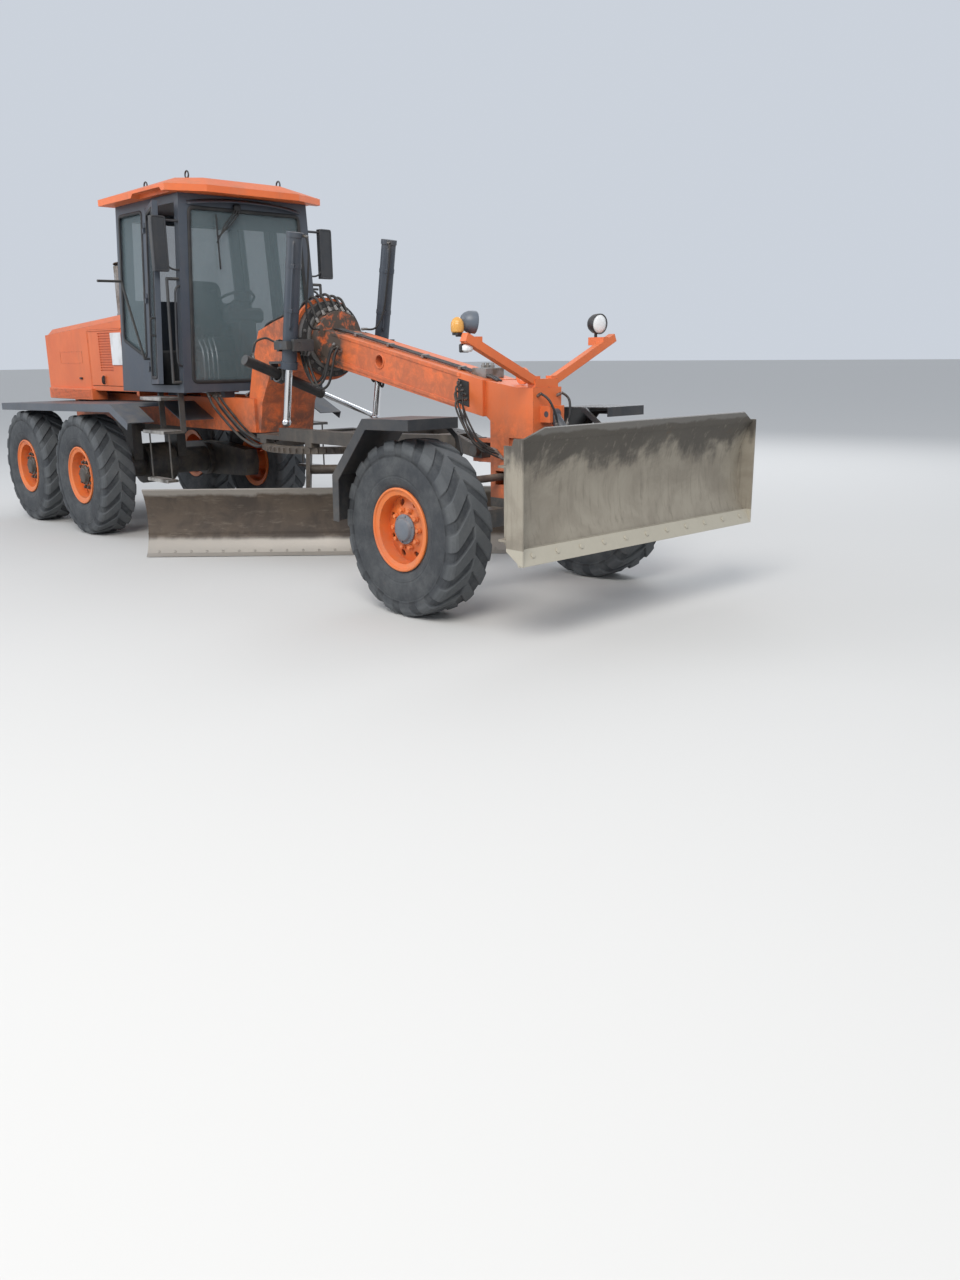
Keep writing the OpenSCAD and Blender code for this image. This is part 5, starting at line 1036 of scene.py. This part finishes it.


# Hydraulic hoses: steel-braided rubber, pressed into fittings at both ends and long enough to sag between them.
# Each is a Catmull-Rom curve through its knots with a round section.
hose_look = Finish("hose_rubber")
hose_rubber = hose_look.surface(
    hose_look.mix((hose_look.facing_up() * 0.6 + 0.1) * hose_look.noise(11.0, 4.0).above(0.35, 0.3),
                  (0.016, 0.016, 0.017), (0.13, 0.11, 0.085)),
    0.62, hose_look.noise(240.0, 2.0), 0.0002)
fitting_shape = joined([turned((0, 0, 0), (0, 0, 1), [(-0.004, 0.0), (-0.004, 1.25), (0.0, 1.35)], 6),
                        turned((0, 0, 0), (0, 0, 1), [(0.0, 1.35), (0.022, 1.35), (0.024, 1.15), (0.050, 1.12),
                                                      (0.052, 0.9)], 12)])


def hose(name, knots, diameter, body):
    """A hose of that diameter along a smooth curve through the knots, with a pressed steel fitting on each end."""
    path = smooth_path(knots, 14)
    tube = lay(name, *pipe(path, diameter / 2, 12), hose_rubber, body, True, "black_trim")
    points, faces = fitting_shape
    scaled = points * [diameter / 2, diameter / 2, 1.0]
    ends = [repeated((scaled, faces), [path[0]], facing(path[1] - path[0])),
            repeated((scaled, faces), [path[-1]], facing(path[-2] - path[-1]))]
    fittings = lay(f"{name}_ends", *joined(ends), bare_steel, body, False, "steel")


neck_radius, ring_radius = 0.24, 0.36
for k, y in enumerate((-0.20, -0.135, -0.07, 0.0, 0.07, 0.135)):
    ring_height = neck_z + math.sqrt(ring_radius ** 2 - y ** 2)
    neck_height = neck_z + math.sqrt(neck_radius ** 2 - y ** 2)
    hose(f"neck_hose_{k}", [
        (-0.45, y, 1.462), (-0.36, y, 1.500), (-0.235, y, 1.66), (-0.145, y, 1.86), (-0.030, y, 2.09),
        (0.14, y * 0.95, 2.155), (0.34, y * 0.9, 2.195), (0.50, y * 0.9, neck_height + 0.035),
        (0.60, y, ring_height - 0.02), (0.665, y, ring_height + 0.022 + 0.006 * (k % 2)),
        (0.745, y, ring_height + 0.008), (0.815, y, neck_height + 0.055), (0.86, y, neck_height + 0.004)],
        0.024, "chassis")
for k, (y, drop) in enumerate(((-0.335, 0.00), (-0.375, 0.035), (-0.415, -0.03), (-0.455, 0.02))):
    hose(f"cab_hose_{k}", [
        (-0.66, y - 0.05, 1.495), (-0.60, y - 0.04, 1.40 - drop), (-0.45, y, 1.25 - drop),
        (-0.20, y + 0.01, 1.105 - drop), (0.05, y + 0.02, 1.03 - drop), (0.20, y + 0.02, 1.045 - drop * 0.6),
        (0.30, y + 0.02, 1.092)], 0.026, "chassis")
for k, (x, out) in enumerate(((0.955, 0.030), (1.005, 0.055), (1.055, 0.040))):
    for side_name, side in (("right", -1), ("left", 1)):
        hose(f"beam_loop_{side_name}_{k}", [
            (x + 0.10, side * 0.182, 1.93 - 0.03 * k), (x + 0.12, side * (0.215 + out), 1.86),
            (x + 0.06, side * (0.26 + out), 1.66 - 0.03 * k), (x - 0.03, side * (0.30 + out), 1.60 - 0.02 * k),
            (x - 0.12, side * (0.33 + out * 0.5), 1.70), (x - 0.175, side * 0.345, 1.83),
            (x - 0.20 + 0.012 * k, side * 0.330, 1.873)], 0.022, "chassis")
for side_name, side in (("right", -1), ("left", 1)):
    for k, (sag, out) in enumerate(((0.00, 0.03), (0.05, 0.07), (-0.02, 0.10), (0.09, 0.045), (0.03, 0.13))):
        hose(f"nose_hose_{side_name}_{k}", [
            (2.69 + 0.022 * k, side * 0.1835, 1.63 - 0.034 * k),
            (2.73 + 0.022 * k, side * (0.205 + out), 1.60 - 0.03 * k),
            (2.83 + 0.012 * k, side * (0.225 + out), 1.40 - sag),
            (2.95 + 0.018 * k, side * (0.215 + out), 1.22 - sag),
            (3.03 + 0.018 * k, side * (0.190 + out * 0.4), 1.15 - 0.012 * k),
            (3.075 + 0.018 * k, side * 0.152, 1.12 - 0.015 * k)], 0.015, "chassis")
hose("shift_hose_rear", [
    (0.592, -0.720, 1.812), (0.592, -0.725, 1.875), (0.600, -0.690, 1.955), (0.630, -0.610, 1.985),
    (0.665, -0.545, 1.955), (0.700, -0.505, 1.965)], 0.018, "chassis")
for side_name, side in (("right", -1), ("left", 1)):
    hose(f"dozer_hose_{side_name}", [
        (3.456, side * 0.105, 1.530), (3.50, side * 0.112, 1.545), (3.575, side * 0.105, 1.500),
        (3.610, side * 0.075, 1.400), (3.600, side * 0.050, 1.318)], 0.018, "dozer_barrel")
    hose(f"lift_hose_{side_name}", [
        (1.055, side * 0.450, 2.800), (1.085, side * 0.440, 2.79), (1.095, side * 0.430, 2.66),
        (1.045, side * 0.425, 2.40), (0.995, side * 0.415, 2.20), (0.955, side * 0.350, 2.07),
        (0.905, side * 0.235, 2.06)], 0.018, "chassis")


# Stage: a wide pale floor of plain concrete, a pale sky and three soft area lamps. They belong to the picture and
# not to the machine.
floor_mesh = bpy.data.meshes.new("floor")
floor_mesh.from_pydata([(-200, -200, 0), (200, -200, 0), (200, 200, 0), (-200, 200, 0)], [], [(0, 1, 2, 3)])
floor = bpy.data.objects.new("floor", floor_mesh)
bpy.context.scene.collection.objects.link(floor)
floor_finish = Finish("floor_finish")
floor_mesh.materials.append(floor_finish.surface((0.62, 0.61, 0.59), 0.9))

sky = bpy.data.worlds.new("studio")
bpy.context.scene.world = sky
sky.use_nodes = True
sky_light = sky.node_tree.nodes["Background"]
sky_light.inputs["Color"].default_value = (0.80, 0.86, 0.95, 1.0)
sky_light.inputs["Strength"].default_value = 0.75
for lamp_name, place, size, power, tint in (
    ("key", (9.0, -9.0, 11.0), 7.0, 1500.0, (1.0, 0.97, 0.93)),
    ("fill", (-8.0, -11.0, 8.0), 9.0, 700.0, (0.93, 0.96, 1.0)),
    ("back", (-2.0, 11.0, 9.0), 9.0, 600.0, (0.95, 0.97, 1.0)),
):
    lamp = bpy.data.lights.new(lamp_name, "AREA")
    lamp.energy, lamp.size, lamp.color = power, size, tint
    lamp_object = bpy.data.objects.new(lamp_name, lamp)
    bpy.context.scene.collection.objects.link(lamp_object)
    aim = Vector((0.0, 0.0, 1.0)) - Vector(place)
    lamp_object.location = place
    lamp_object.rotation_euler = aim.to_track_quat("-Z", "Y").to_euler()
bpy.context.scene.view_settings.view_transform = "Standard"
